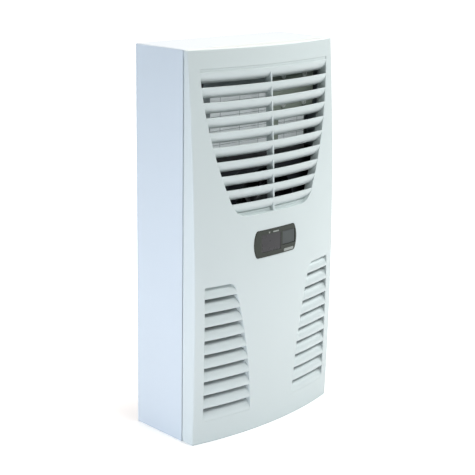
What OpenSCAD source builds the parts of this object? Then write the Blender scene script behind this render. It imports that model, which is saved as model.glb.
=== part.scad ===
// Wall-mounted cooling unit for an electrical enclosure.
// X runs to the right, Y to the back and Z up. The origin lies under the middle of the unit, on
// the plane that it stands on. The foam seal at the back meets the enclosure's wall. Ambient air
// enters through the lower louvres, rises past the compressor and the condenser, and leaves
// through the upper grille. Enclosure air enters and leaves through the rear panel.

/* [Overall] */
// Width of the unit
unit_w = 280; // [272:1:320]
// Height of the unit
unit_h = 550; // [545:1:620]
// Depth of the unit, from the seal to the crest of the front
unit_d = 140; // [139:1:160]

/* [Housing] */
// Thickness of the housing's sheet metal
wall_t = 1.5; // [1:0.1:2]
// Width of the flange that the housing's front edge folds in
return_w = 18; // [18:1:24]
// Thickness of the foam seal behind the rear panel
gasket_t = 2; // [2:0.5:4]
// Width of the foam seal's strip
gasket_w = 10; // [6:1:12]
// Thickness of the sheet metal inside the unit
sheet_t = 1; // [0.8:0.1:1.2]
// Thickness of the insulating foam
foam_t = 6; // [4:1:7]
// Height of the cold side's floor above the base
floor_z = 190; // [188:1:196]
// Depth of the cold side, between the rear panel and the divider wall
cold_d = 60; // [59:0.5:62]

/* [Front cover] */
// Wall thickness of the front cover
cover_t = 2.5; // [2:0.1:3]
// Shadow gap between the front cover and the housing
seam_gap = 2; // [1.5:0.5:3]
// Depth of the cover's side edge, level with the crest
cover_side_d = 23; // [22:1:26]
// How far the front bows forward between its side edges
bow_depth = 18; // [15:1:20]
// How far the front falls back from its crest to its top edge
crown_drop = 17; // [10:1:18]
// Height of the crest of the front
crest_z = 165; // [150:1:190]

/* [Upper grille] */
// Plain strip above the upper grille
grille_top_margin = 26; // [25:1:32]
// Plain strip beside the upper grille at its top
grille_side_margin = 16.5; // [16:0.5:20]
// Radius of the grille's narrowing sides
grille_side_r = 520; // [500:10:640]
// Radius of the grille's lower corners
grille_corner_r = 28; // [20:1:30]
// Number of slats in the upper grille
slat_count = 10; // [9:1:10]
// Distance from one slat or louvre to the next
slat_pitch = 20; // [19:0.5:20.5]
// Height of one slat
slat_drop = 16; // [15:0.5:16.5]
// Depth of one slat
slat_depth = 11; // [9:0.5:11.5]
// Thickness of one slat
slat_t = 2.2; // [1.8:0.1:2.6]

/* [Lower louvres] */
// Number of slots in each louvre group
louvre_count = 9; // [7:1:9]
// Height of the louvre groups' lower end
louvre_z = 34; // [32:1:40]
// Width of the plain strip between the groups, at the base
louvre_between = 86; // [80:1:96]
// Plain strip outside each group
louvre_side_margin = 16; // [16:0.5:20]
// Radius of the groups' curved inner sides
louvre_side_r = 800; // [760:10:1000]
// Radius of the groups' upper inner corners
louvre_corner_r = 12; // [8:1:14]

/* [Display] */
// Width of the display panel across its bulging sides
display_w = 85; // [82:1:90]
// Height of the display panel
display_h = 38.5; // [37:0.5:40]
// Plain strip between the upper grille and the display panel
display_drop = 25; // [24:1:30]
// How far each side of the display panel bulges
display_bulge = 5; // [3:0.5:6]
// Press travel of the key pad
key_travel = 0.8; // [0.4:0.1:1]

/* [Fans] */
// Diameter of the outer fan's blades
outer_fan_d = 112; // [100:1:114]
// Depth of the outer fan's ring
outer_ring_d = 22; // [20:1:23]
// Diameter of the inner fan's wheel
inner_fan_d = 100; // [90:1:102]
// Diameter of both fans' shafts
shaft_d = 6; // [5:0.5:8]

/* [Refrigeration] */
// Diameter of the compressor's shell
comp_d = 102; // [90:1:104]
// Height of the compressor's shell
comp_h = 138; // [120:1:142]
// Outer diameter of the exchangers' tubes
tube_d = 9; // [8:0.5:9.5]
// Distance from one exchanger fin to the next
fin_pitch = 8; // [7:0.5:10]
// Thickness of one exchanger fin
fin_t = 0.4; // [0.3:0.1:0.6]
// Outer diameter of the refrigerant pipes
pipe_d = 8; // [6:0.5:8]
// Outer diameter of the drain spigot
spigot_d = 12; // [10:0.5:14]

/* [Mounting] */
// Distance between the mounting nuts, across
mount_span_x = 220; // [200:1:224]
// Distance between the mounting nuts, in height
mount_span_z = 486; // [460:1:490]
// Core diameter of the mounting nuts' thread, for an M6 screw
nut_core_d = 5; // [4.5:0.1:5.5]

/* [Hidden] */
$fn = 64;
// Overrun of every cut
over = 1;
// Gap between neighbours that are put together by hand
seat_gap = 0.3;
// Radial clearance of pegs and shafts that run in a bore
run_gap = 0.06;

// Faces of the housing
half_w = unit_w / 2;
back_y = unit_d / 2;
front_y = -unit_d / 2;
case_back = back_y - gasket_t;
case_d = unit_d - gasket_t - seam_gap - bow_depth - cover_side_d;
case_front = case_back - case_d;
in_x = half_w - wall_t;
in_back = case_back - wall_t;
in_top = unit_h - wall_t;
cover_back = case_front - seam_gap;
rim_d = 12;
gasket_edge = 6;

// Front surface: bowed in plan by bow_r, crowned in height by crown_r
bow_r = (half_w * half_w + bow_depth * bow_depth) / (2 * bow_depth);
crown_r = (unit_h - crest_z) * (unit_h - crest_z) / (2 * crown_drop);
axis_y = front_y + bow_r;
skin_bands = 11;
function skin_r(z, inset) = bow_r - (z - crest_z) * (z - crest_z) / (2 * crown_r) - inset;
function skin_y(x, z, inset) = axis_y - sqrt(pow(skin_r(z, inset), 2) - x * x);

// Slats and louvres are arcs that start level with the front surface
roll_r = (slat_drop * slat_drop + slat_depth * slat_depth) / (2 * slat_depth);
lip_sunk = 0.3;
lip_lap = 0.4;
collar_t = 2;
collar_d = slat_depth + 2.5;
sill_h = 4;
sill_inset = 1;
bottom_land = 2.5;
rib_w = 2.4;
rib_inset = 1.2;
rib_x = -3.6;
grille_top = unit_h - grille_top_margin;
grille_lip = grille_top - sill_h;
grille_bottom = grille_lip - (slat_count - 1) * slat_pitch - slat_drop - bottom_land;
grille_half = half_w - grille_side_margin;
louvre_top = louvre_z + louvre_count * slat_pitch + slat_drop;
louvre_out = half_w - louvre_side_margin;

// Pegs of the cover and the clips that hold them
peg_d = 8;
peg_inset = 10;
peg_x = half_w - peg_inset;
peg_low = 16;
peg_high = unit_h - peg_low;
clip_d = 12;
clip_head_d = 15;
clip_head_t = 1;
clip_l = 14;
peg_end = case_front + clip_l - 2 * clip_head_t;

// Display panel
display_top = grille_bottom - display_drop;
display_z = display_top - display_h / 2;
display_corner_r = 4;
bezel_proud = 0.8;
bezel_t = 4;
bezel_wall = 1.5;
bezel_flange = 2.5;
bezel_back = 15;
window_w = 38;
window_h = 25;
window_x = -10;
window_t = 1.5;
window_sunk = 0.6;
key_w = 27;
key_h = 20;
key_x = 26;
key_rise = 2;
key_t = 1.6;
board_t = 1.6;
board_margin = 3;

// Boxes behind the upper grille
box_head_room = 22;
box_h = 136;
box_clear = 2;
box_top = unit_h - box_head_room;
box_z = box_top - box_h;
bay_left = half_w - 35;
bay_right = 22;
elec_left = 26;
elec_right = half_w - 28;
elec_notch_w = 17;
elec_notch_h = 54;
box_front = skin_y(elec_right, box_top, 0) + collar_d + box_clear;
label_t = 0.3;
label_left = 92;
label_low = 8;
label_high = 41;
wiring_left = 15;

// Cold side
div_y = in_back - cold_d - sheet_t;
foam_y = div_y + sheet_t;
foam_back = foam_y + foam_t;
cold_floor = floor_z + sheet_t + foam_t;
tray_h = 12;
tray_wall = 2;
tray_gap = 2;
outlet_side = 40;
outlet_h = 46;
outlet_gap = 3;
outlet_z = cold_floor + tray_h + outlet_gap;
guard_wire = 1.6;
guard_step = 10;
inlet_d = 84;

// Inner fan, a wheel in the bay on the left
inner_x = (bay_right - bay_left) / 2;
inner_z = box_z + box_h / 2;
inner_motor_d = 48;
inner_motor_l = 26;
inner_hub_d = 26;
wheel_plate = 2;
wheel_eye_d = 78;
wheel_w = 36;
wheel_blades = 9;
wheel_blade_t = 1.4;
wheel_blade_r = 42;
wheel_y = box_front + sheet_t + inner_motor_l + 4;
bell_d = 74;
bell_flange_d = 102;
bell_t = 1.2;
sensor_d = 6;
sensor_l = 18;

// Outer fan, in a ring behind the lower half of the upper grille
fan_setback = 26;
plate_gap = 3;
ring_gap = 2;
ring_t = 2;
ring_front = front_y + fan_setback;
plate_y = ring_front + outer_ring_d;
plate_half = in_x - 8;
outer_motor_d = 40;
outer_hub_d = 46;
hub_wall = 2;
outer_blades = 7;
blade_t = 1.6;
blade_angle = 32;
blade_chord = 38;
spider_t = 4;
spider_w = 8;

// Condenser and evaporator
cond_z = floor_z + 6;
cond_row = 18;
cond_rows = 3;
cond_col = 20;
cond_gap = 2.5;
cond_h = cond_rows * cond_row;
cond_d = 2 * cond_col;
cond_y = div_y - cond_gap - cond_d;
cond_top = cond_z + cond_h;
evap_lift = 74;
evap_row = 25;
evap_col = 19;
evap_gap = 2;
evap_z = floor_z + evap_lift;
evap_rows = floor((inner_z - inner_fan_d / 2 - tube_d - evap_z) / evap_row);
evap_h = evap_rows * evap_row;
evap_y = foam_back + evap_gap;
plate_foot = 12;
end_room = 3;
outer_z = (cond_top + box_z) / 2;
cond_half = half_w - return_w - cond_row / 2 - tube_d / 2 - end_room - sheet_t;
evap_half = in_x - evap_row / 2 - tube_d / 2 - end_room;

// Compressor
foot_h = 14;
foot_d = 18;
foot_x = 62;
foot_y = 28;
base_t = 2;
base_edge = 10;
base_gap = 1;
comp_gap = 2;
comp_y = in_back - comp_gap - comp_d / 2;
comp_z = wall_t + foot_h + base_t;
dome_r = 30;
seam_band = 3;
seam_out = 1.5;
stub_x = 24;
stub_h = 7;
sleeve_t = 1;
bolt_d = 6;
nut_d = 11;
nut_h = 5;
term_cover_w = 34;
term_cover_h = 44;
term_cover_d = 16;
term_cover_lift = 14;

// Drain
drain_x = half_w - 34;
drain_in = 6;
drain_y = foam_back + tray_gap + tray_wall + spigot_d / 2 + drain_in;
hose_t = 2;
cup_d = 36;
cup_h = 24;
cup_wall = 2;
cup_flange = 5;
nipple_h = 10;
spigot_up = 5;

// Pipes and dryer
dryer_d = 19;
dryer_h = 92;
dryer_side = 42;
dryer_x = -half_w + dryer_side;
dryer_back = 28;
dryer_y = in_back - dryer_back;
dryer_z = 56;
dryer_band = 12;
dryer_low = dryer_z - dryer_d / 2 - 3 * sleeve_t;
dryer_top = dryer_z + dryer_h + dryer_d / 2 + 3 * sleeve_t;
pipe_gap = 2;
side_room = 3.5;
grommet_gap = 2;
pipe_high = floor_z - pipe_d / 2 - 2 * pipe_gap - sheet_t;
pipe_low = pipe_high - pipe_d - pipe_gap;
riser_x = in_x - pipe_d / 2 - side_room;
cond_riser_x = cond_half + sheet_t + pipe_d;
valve_w = 22;
valve_h = 24;
valve_d = 18;
valve_z = evap_z - valve_h;
valve_cap_d = 16;
valve_cap_h = 8;

// Ends of the pipes at the compressor and at the exchangers' bottom rows
comp_top = comp_z + comp_h + stub_h;
cond_in = [-cond_half - sheet_t, cond_y + 1.5 * cond_col, cond_z + cond_row / 2];
cond_out = [-cond_half - sheet_t, cond_y + 0.5 * cond_col, cond_z + cond_row / 2];
evap_in = [-evap_half - sheet_t, evap_y + 0.5 * evap_col, evap_z + evap_row / 2];
evap_out = [-evap_half - sheet_t, evap_y + 1.5 * evap_col, evap_z + evap_row / 2];

// Rear terminals
term_x = 70;
term_z = box_top - 20;
socket_w = 44;
socket_h = 12;
socket_d = 13;
socket_wall = 3;
plug_gap = 0.3;
wire_hole_d = 3;
wire_holes = 5;

// Parts in the electrics box
screw_span_x = 43;
screw_span_z = 41;
screw_x = 71;
screw_z = box_top - 48;
screw_head_d = 8;
screw_head_h = 2.6;
screw_d = 4;
screw_l = 9;
post_d = 9;
board_gap = 5;
relay_w = 15;
relay_h = 28;
relay_d = 12;
cap_d = 24;
cap_h = 40;

// Mounting nuts
nut_body_d = 9;
nut_body_l = 14;
nut_head_d = 13;
nut_head_t = 1.2;
mount_z = unit_h / 2;

// Shared shapes

module block(x0, x1, y0, y1, z0, z1) {
    translate([x0, y0, z0])
        cube([x1 - x0, y1 - y0, z1 - z0]);
}

// Extrudes a drawing of the front view from y0 to y1
module front_cut(y0, y1) {
    translate([0, y1, 0])
        rotate([90, 0, 0])
            linear_extrude(y1 - y0)
                children();
}

module rod_y(x, z, d, y0, y1) {
    translate([x, y1, z])
        rotate([90, 0, 0])
            cylinder(d = d, h = y1 - y0);
}

module rod_z(x, y, d, z0, z1) {
    translate([x, y, z0])
        cylinder(d = d, h = z1 - z0);
}

module rod_x(y, z, d, x0, x1) {
    translate([x0, y, z])
        rotate([0, 90, 0])
            cylinder(d = d, h = x1 - x0);
}

module at_corners(span_x, span_z, x, z) {
    for (sx = [-1, 1], sz = [-1, 1])
        translate([x + sx * span_x / 2, 0, z + sz * span_z / 2])
            children();
}

// A bent pipe through a list of points, with round elbows
module pipe(points, d) {
    for (i = [0 : len(points) - 2]) {
        run = points[i + 1] - points[i];
        translate(points[i])
            rotate([0, acos(run[2] / norm(run)), atan2(run[1], run[0])])
                cylinder(d = d, h = norm(run));
    }
    for (i = [1 : 1 : len(points) - 2])
        translate(points[i])
            sphere(d = d);
}

// Half of a ring of tube that bulges to one side, standing up or lying flat
module tube_bend(x, y, z, r, side, flat) {
    translate([x, y, z])
        rotate([flat ? 0 : 90, 0, 0])
            rotate([0, 0, side > 0 ? -90 : 90])
                rotate_extrude(angle = 180)
                    translate([r, 0])
                        circle(d = tube_d);
}

// Solid inside the front surface, moved in by inset, up to the plane y_back
module front_body(inset, side_inset, y_back) {
    profile = concat(
        [[0, 0]],
        [for (i = [0 : skin_bands]) let (z = i * unit_h / skin_bands) [skin_r(z, inset), z]],
        [[0, unit_h]]);
    intersection() {
        translate([0, axis_y, 0])
            rotate([0, 0, -90])
                rotate_extrude($fn = 256)
                    polygon(profile);
        block(-half_w + side_inset, half_w - side_inset, front_y - over, y_back,
            side_inset, unit_h - side_inset);
    }
}

// Layer of the front between two depths below its surface
module front_layer(inset_0, inset_1) {
    difference() {
        front_body(inset_0, 0, cover_back);
        front_body(inset_1, -over, cover_back + over);
    }
}

// Corners of the upper grille's outline, grown by grow on all sides
function grille_right(grow) =
    let (r = grille_side_r + grow,
        c = grille_corner_r + grow,
        low = grille_bottom - grow,
        top = grille_top + grow,
        cz = grille_bottom + grille_corner_r,
        rise = unit_h - grille_top,
        xc = grille_half - sqrt(grille_side_r * grille_side_r - rise * rise),
        reach = grille_side_r - grille_corner_r,
        cx = xc + sqrt(reach * reach - (unit_h - cz) * (unit_h - cz)),
        a_top = asin((top - unit_h) / r),
        a_low = atan2(cz - unit_h, cx - xc))
    concat(
        [for (i = [0 : 10]) let (a = a_top + (a_low - a_top) * i / 10)
            [xc + r * cos(a), unit_h + r * sin(a)]],
        [for (i = [1 : 8]) let (a = a_low + (-90 - a_low) * i / 8)
            [cx + c * cos(a), cz + c * sin(a)]]);

module grille_outline(grow) {
    right = grille_right(grow);
    n = len(right);
    polygon(concat(right, [for (i = [n - 1 : -1 : 0]) [-right[i][0], right[i][1]]]));
}

// Outline of the right louvre group, grown by grow
module louvre_outline(grow) {
    r = louvre_side_r + grow;
    c = louvre_corner_r + grow;
    xc = louvre_between / 2 + louvre_side_r;
    cz = louvre_top - louvre_corner_r;
    reach = louvre_side_r - louvre_corner_r;
    cx = xc - sqrt(reach * reach - cz * cz);
    low = louvre_z - grow;
    a_low = asin(low / r);
    a_top = atan2(cz, xc - cx);
    polygon(concat(
        [[louvre_out + grow, low]],
        [for (i = [0 : 8]) let (a = a_low + (a_top - a_low) * i / 8)
            [xc - r * cos(a), r * sin(a)]],
        [for (i = [1 : 5]) let (a = a_top + (90 - a_top) * i / 5)
            [cx - c * cos(a), cz + c * sin(a)]],
        [[louvre_out + grow, louvre_top + grow]]));
}

module louvre_outlines(grow) {
    louvre_outline(grow);
    mirror([1, 0])
        louvre_outline(grow);
}

// Outline of the display panel, with straight top and bottom and bulging sides
module display_outline(grow) {
    h = display_h / 2;
    side_r = (h * h + display_bulge * display_bulge) / (2 * display_bulge);
    xc = display_w / 2 - side_r;
    c = display_corner_r;
    reach = side_r - c;
    cz = h - c;
    cx = xc + sqrt(reach * reach - cz * cz);
    a_top = atan2(cz, cx - xc);
    corner = concat(
        [for (i = [0 : 4]) let (a = a_top * i / 4)
            [xc + (side_r + grow) * cos(a), (side_r + grow) * sin(a)]],
        [for (i = [1 : 4]) let (a = a_top + (90 - a_top) * i / 4)
            [cx + (c + grow) * cos(a), cz + (c + grow) * sin(a)]]);
    n = len(corner);
    translate([0, display_z])
        polygon(concat(
            corner,
            [for (i = [n - 1 : -1 : 0]) [-corner[i][0], corner[i][1]]],
            [for (i = [1 : n - 1]) [-corner[i][0], -corner[i][1]]],
            [for (i = [n - 1 : -1 : 1]) [corner[i][0], -corner[i][1]]]));
}

// Section of one slat: way -1 rolls in downwards, way 1 rolls in upwards
module slat_section(lip_z, way) {
    translate([skin_r(lip_z, lip_sunk) - roll_r, lip_z])
        intersection() {
            difference() {
                circle(r = roll_r);
                circle(r = roll_r - slat_t);
            }
            translate([roll_r - slat_depth, way < 0 ? -roll_r : -lip_lap])
                square([slat_depth + over, roll_r + lip_lap]);
        }
}

// All slats or louvres as rings round the axis of the bow, cut to a drawing of the front view
module slat_rings(lips, way) {
    intersection() {
        translate([0, axis_y, 0])
            rotate([0, 0, -90])
                rotate_extrude($fn = 256)
                    for (lip_z = lips)
                        slat_section(lip_z, way);
        front_cut(front_y - over, cover_back)
            children();
    }
}

// Side that the bend above row k lies on
function bend_side(k) = k % 2 == 0 ? 1 : -1;

// Tubes of an exchanger with two columns. The bends zigzag up each column and the top row joins
// them, so that both free ends lie at the left of the bottom row.
module tube_pack(x_half, y0, z0, col, rows, row) {
    for (c = [0.5, 1.5], k = [0 : rows - 1])
        rod_x(y0 + c * col, z0 + (k + 0.5) * row, tube_d, -x_half, x_half);
    for (c = [0.5, 1.5], k = [0 : rows - 2])
        tube_bend(bend_side(k) * x_half, y0 + c * col, z0 + (k + 1) * row, row / 2,
            bend_side(k), false);
    tube_bend(bend_side(rows - 1) * x_half, y0 + col, z0 + (rows - 0.5) * row, col / 2,
        bend_side(rows - 1), true);
}

// Holes that those tubes pass through
module tube_holes(x0, x1, y0, z0, col, rows, row) {
    for (c = [0.5, 1.5], k = [0 : rows - 1])
        rod_x(y0 + c * col, z0 + (k + 0.5) * row, tube_d + 2 * run_gap, x0, x1);
}

module fin_pack(x_half, y0, z0, col, rows, row) {
    count = floor(2 * x_half / fin_pitch);
    for (i = [0 : count - 1])
        translate([(i - (count - 1) / 2) * fin_pitch, 0, 0])
            difference() {
                block(-fin_t / 2, fin_t / 2, y0, y0 + 2 * col, z0, z0 + rows * row);
                tube_holes(-fin_t, fin_t, y0, z0, col, rows, row);
            }
}

// Housing

// Room that the rear panel's folded rim takes at the sides
module rim_room(z0, z1) {
    for (side = [-1, 1])
        block(side > 0 ? in_x - sheet_t : -in_x - over, side > 0 ? in_x + over : -in_x + sheet_t,
            in_back - rim_d, in_back + over, z0, z1);
}

module housing_shell() {
    color([0.84, 0.88, 0.91])
        difference() {
            block(-half_w, half_w, case_front, case_back, 0, unit_h);
            block(-in_x, in_x, case_front + wall_t, case_back + over, wall_t, in_top);
            block(-half_w + return_w, half_w - return_w, case_front - over,
                case_front + wall_t + over, return_w, unit_h - return_w);
            rod_z(drain_x, drain_y, cup_d, -over, wall_t + over);
            for (x = [-peg_x, peg_x], z = [peg_low, peg_high])
                rod_y(x, z, clip_d, case_front - over, case_front + wall_t + over);
            for (x = [-foot_x, foot_x], y = [-foot_y, foot_y])
                rod_z(x, comp_y + y, bolt_d, -over, wall_t + over);
        }
}

module rear_panel() {
    color([0.8, 0.83, 0.85])
        difference() {
            block(-in_x, in_x, in_back - rim_d, case_back, wall_t, in_top);
            block(-in_x + sheet_t, in_x - sheet_t, in_back - rim_d - over, in_back,
                wall_t + sheet_t, in_top - sheet_t);
            rod_y(inner_x, inner_z, inlet_d, in_back - over, case_back + over);
            block(-half_w + outlet_side, half_w - outlet_side, in_back - over, case_back + over,
                outlet_z, outlet_z + outlet_h);
            block(term_x - socket_w / 2, term_x + socket_w / 2, in_back - over, case_back + over,
                term_z - socket_h / 2, term_z + socket_h / 2);
            at_corners(mount_span_x, mount_span_z, 0, mount_z)
                rod_y(0, 0, nut_body_d, in_back - over, case_back + over);
        }
}

module rear_gasket() {
    color([0.16, 0.16, 0.17])
        difference() {
            block(-half_w + gasket_edge, half_w - gasket_edge, case_back, back_y,
                gasket_edge, unit_h - gasket_edge);
            block(-half_w + gasket_edge + gasket_w, half_w - gasket_edge - gasket_w,
                case_back - over, back_y + over,
                gasket_edge + gasket_w, unit_h - gasket_edge - gasket_w);
        }
}

module mounting_nuts() {
    color([0.72, 0.73, 0.75])
        at_corners(mount_span_x, mount_span_z, 0, mount_z)
            difference() {
                union() {
                    rod_y(0, 0, nut_body_d, case_back - nut_body_l, case_back);
                    rod_y(0, 0, nut_head_d, case_back, case_back + nut_head_t);
                }
                rod_y(0, 0, nut_core_d, case_back - nut_body_l - over, back_y + over);
            }
}

module inlet_guard() {
    tab_r = inlet_d / 2 + guard_wire;
    color([0.7, 0.72, 0.74])
        translate([inner_x, case_back + guard_wire / 2, inner_z])
            rotate([-90, 0, 0]) {
                for (r = [guard_step : guard_step : tab_r])
                    rotate_extrude()
                        translate([r, 0])
                            circle(d = guard_wire, $fn = 16);
                for (a = [0 : 45 : 135])
                    rotate([0, 0, a])
                        translate([-tab_r, -guard_wire / 2, -guard_wire / 2])
                            cube([2 * tab_r, guard_wire, guard_wire]);
            }
}

// Divider between the ambient side and the cold side

module divider_wall() {
    color([0.74, 0.76, 0.77])
        difference() {
            union() {
                block(-in_x, in_x, div_y, div_y + sheet_t, floor_z, in_top);
                block(-in_x, in_x, div_y, in_back, floor_z, floor_z + sheet_t);
            }
            block(-bay_left + sheet_t, bay_right - sheet_t, div_y - over, div_y + sheet_t + over,
                box_z + sheet_t, box_top - sheet_t);
            rim_room(floor_z - over, floor_z + sheet_t + over);
            riser_holes(floor_z - over, floor_z + sheet_t + over);
        }
}

// Holes in the cold side's floor for the drain and for the two pipes that pass through it
module riser_holes(z0, z1) {
    rod_z(drain_x, drain_y, spigot_d + 2 * seat_gap, z0, z1);
    rod_z(-riser_x, evap_out[1], pipe_d + 2 * grommet_gap, z0, z1);
    rod_z(-riser_x, evap_in[1], pipe_d + 2 * grommet_gap, z0, z1);
}

module cold_side_foam() {
    color([0.12, 0.12, 0.13])
        difference() {
            union() {
                block(-in_x, in_x, foam_y, foam_back, floor_z + sheet_t, in_top);
                block(-in_x, in_x, foam_y, in_back, floor_z + sheet_t, cold_floor);
            }
            block(-bay_left + sheet_t, bay_right - sheet_t, foam_y - over, foam_back + over,
                box_z + sheet_t, box_top - sheet_t);
            rim_room(floor_z, cold_floor + over);
            riser_holes(floor_z, cold_floor + over);
        }
}

module fan_bay_box() {
    color([0.72, 0.74, 0.75])
        difference() {
            block(-bay_left, bay_right, box_front, div_y, box_z, box_top);
            block(-bay_left + sheet_t, bay_right - sheet_t, box_front + sheet_t, div_y + over,
                box_z + sheet_t, box_top - sheet_t);
        }
}

module fan_bay_foam() {
    color([0.12, 0.12, 0.13])
        difference() {
            block(-bay_left + sheet_t, bay_right - sheet_t, box_front + sheet_t, foam_back,
                box_z + sheet_t, box_top - sheet_t);
            block(-bay_left + sheet_t + foam_t, bay_right - sheet_t - foam_t,
                box_front + sheet_t + foam_t, foam_back + over,
                box_z + sheet_t + foam_t, box_top - sheet_t - foam_t);
            rod_y(inner_x, inner_z, inner_motor_d + 2 * seat_gap, box_front,
                box_front + sheet_t + foam_t + over);
        }
}

module rating_label() {
    color([0.88, 0.89, 0.9])
        block(-label_left, bay_right - label_low / 2, box_front - label_t, box_front,
            box_z + label_low, box_top - label_high);
}

// Inner fan

module inner_fan_motor() {
    y0 = box_front + sheet_t;
    y1 = y0 + inner_motor_l;
    color([0.2, 0.2, 0.22])
        difference() {
            rod_y(inner_x, inner_z, inner_motor_d, y0, y1);
            rod_y(inner_x, inner_z, shaft_d + 2 * run_gap, y0 + hub_wall, y1 + over);
        }
}

module inner_fan_shaft() {
    y0 = box_front + sheet_t + hub_wall + seat_gap;
    color([0.75, 0.75, 0.76])
        rod_y(inner_x, inner_z, shaft_d, y0, wheel_y + inner_hub_d / 2);
}

module inner_fan_wheel() {
    r = inner_fan_d / 2;
    y1 = wheel_y + wheel_plate;
    y2 = y1 + wheel_w;
    blade_in_r = wheel_eye_d / 2 - hub_wall;
    color([0.1, 0.1, 0.11])
        union() {
            difference() {
                union() {
                    rod_y(inner_x, inner_z, inner_fan_d, wheel_y, y1);
                    rod_y(inner_x, inner_z, inner_hub_d, wheel_y, wheel_y + inner_hub_d / 2);
                }
                rod_y(inner_x, inner_z, shaft_d, wheel_y - over, y2);
            }
            difference() {
                rod_y(inner_x, inner_z, inner_fan_d, y2, y2 + wheel_plate);
                rod_y(inner_x, inner_z, wheel_eye_d, y2 - over, y2 + wheel_plate + over);
            }
            translate([inner_x, 0, inner_z])
                front_cut(y1, y2)
                    intersection() {
                        difference() {
                            circle(r = r);
                            circle(r = blade_in_r);
                        }
                        for (i = [0 : wheel_blades - 1])
                            rotate(i * 360 / wheel_blades)
                                translate([blade_in_r, wheel_blade_r / 2])
                                    difference() {
                                        circle(r = wheel_blade_r / 2 + wheel_blade_t);
                                        circle(r = wheel_blade_r / 2);
                                        translate([-wheel_blade_r, 0])
                                            square(2 * wheel_blade_r);
                                        translate([-2 * wheel_blade_r, -wheel_blade_r])
                                            square(2 * wheel_blade_r);
                                    }
                    }
        }
}

module inlet_bell() {
    bell_y = wheel_y + wheel_plate + wheel_w;
    color([0.75, 0.77, 0.78])
        difference() {
            union() {
                rod_y(inner_x, inner_z, bell_d, bell_y, in_back);
                rod_y(inner_x, inner_z, bell_flange_d, in_back - bell_t, in_back);
            }
            rod_y(inner_x, inner_z, bell_d - 2 * bell_t, bell_y - over, in_back + over);
        }
}

module intake_sensor() {
    sensor_x = inner_x + bell_flange_d / 2 + sensor_d;
    color([0.15, 0.15, 0.16])
        union() {
            rod_y(sensor_x, inner_z, sensor_d, in_back - sensor_l, in_back);
            rod_y(sensor_x, inner_z, 2 * sensor_d, in_back - bell_t, in_back);
        }
}

// Evaporator

module evaporator_fins() {
    color([0.78, 0.8, 0.82])
        fin_pack(evap_half, evap_y, evap_z, evap_col, evap_rows, evap_row);
}

module evaporator_tubes() {
    color([0.72, 0.45, 0.3])
        tube_pack(evap_half + sheet_t, evap_y, evap_z, evap_col, evap_rows, evap_row);
}

// The end plates stand between the foam and the rear panel, and carry the tubes
module evaporator_end_plates() {
    color([0.76, 0.78, 0.79])
        for (side = [-1, 1])
            difference() {
                union() {
                    block(side * evap_half - sheet_t / 2, side * evap_half + sheet_t / 2,
                        foam_back, in_back, evap_z, evap_z + evap_h);
                    block(side * evap_half - (side > 0 ? plate_foot : 0),
                        side * evap_half + (side > 0 ? 0 : plate_foot),
                        in_back - sheet_t, in_back, evap_z, evap_z + evap_h);
                }
                tube_holes(side * evap_half - sheet_t, side * evap_half + sheet_t,
                    evap_y, evap_z, evap_col, evap_rows, evap_row);
            }
}

// Condensate

module condensate_tray() {
    y0 = foam_back + tray_gap;
    y1 = in_back - tray_gap;
    x1 = riser_x - pipe_d / 2 - tray_gap;
    color([0.2, 0.21, 0.22])
        difference() {
            union() {
                block(-x1, x1, y0, y1, cold_floor, cold_floor + tray_h);
                rod_z(drain_x, drain_y, spigot_d, floor_z - nipple_h, cold_floor);
            }
            block(-x1 + tray_wall, x1 - tray_wall, y0 + tray_wall, y1 - tray_wall,
                cold_floor + tray_wall, cold_floor + tray_h + over);
            rod_z(drain_x, drain_y, spigot_d - 2 * hose_t, floor_z - nipple_h - over,
                cold_floor + tray_wall + over);
        }
}

module drain_hose() {
    color([0.3, 0.31, 0.32])
        difference() {
            rod_z(drain_x, drain_y, spigot_d + 2 * hose_t + 2 * run_gap,
                cup_h + wall_t, floor_z - seat_gap);
            rod_z(drain_x, drain_y, spigot_d + 2 * run_gap, 0, floor_z);
        }
}

// The spigot hangs in a cup in the base, so that the unit still stands flat
module drain_spigot() {
    roof = wall_t + cup_h;
    color([0.25, 0.26, 0.27])
        difference() {
            union() {
                difference() {
                    union() {
                        rod_z(drain_x, drain_y, cup_d, 0, roof);
                        rod_z(drain_x, drain_y, cup_d + 2 * cup_flange, wall_t, 2 * wall_t);
                    }
                    rod_z(drain_x, drain_y, cup_d - 2 * cup_wall, -over, roof - cup_wall);
                }
                rod_z(drain_x, drain_y, spigot_d, spigot_up, roof + nipple_h);
            }
            rod_z(drain_x, drain_y, spigot_d - 2 * hose_t, -over, roof + nipple_h + over);
        }
}

// Compressor

module compressor_shell() {
    r = comp_d / 2 - seam_out;
    color([0.08, 0.08, 0.09])
        translate([0, comp_y, comp_z])
            union() {
                rotate_extrude()
                    union() {
                        translate([0, dome_r])
                            square([r, comp_h - 2 * dome_r]);
                        square([r - dome_r, comp_h]);
                        intersection() {
                            translate([r - dome_r, dome_r])
                                circle(r = dome_r);
                            square([r, comp_h]);
                        }
                        translate([r - dome_r, comp_h - dome_r])
                            intersection() {
                                circle(r = dome_r);
                                square(dome_r);
                            }
                    }
                translate([0, 0, dome_r])
                    cylinder(d = comp_d, h = seam_band);
                for (x = [-stub_x, stub_x])
                    rod_z(x, 0, pipe_d + 2 * sleeve_t, comp_h - stub_h, comp_h + stub_h);
            }
}

module compressor_base() {
    color([0.1, 0.1, 0.11])
        difference() {
            block(-foot_x - base_edge, foot_x + base_edge, comp_y - foot_y - base_edge,
                comp_y + foot_y + base_edge, comp_z - base_t, comp_z);
            for (x = [-foot_x, foot_x], y = [-foot_y, foot_y])
                rod_z(x, comp_y + y, nut_d, comp_z - base_t - over, comp_z + over);
        }
}

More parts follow.
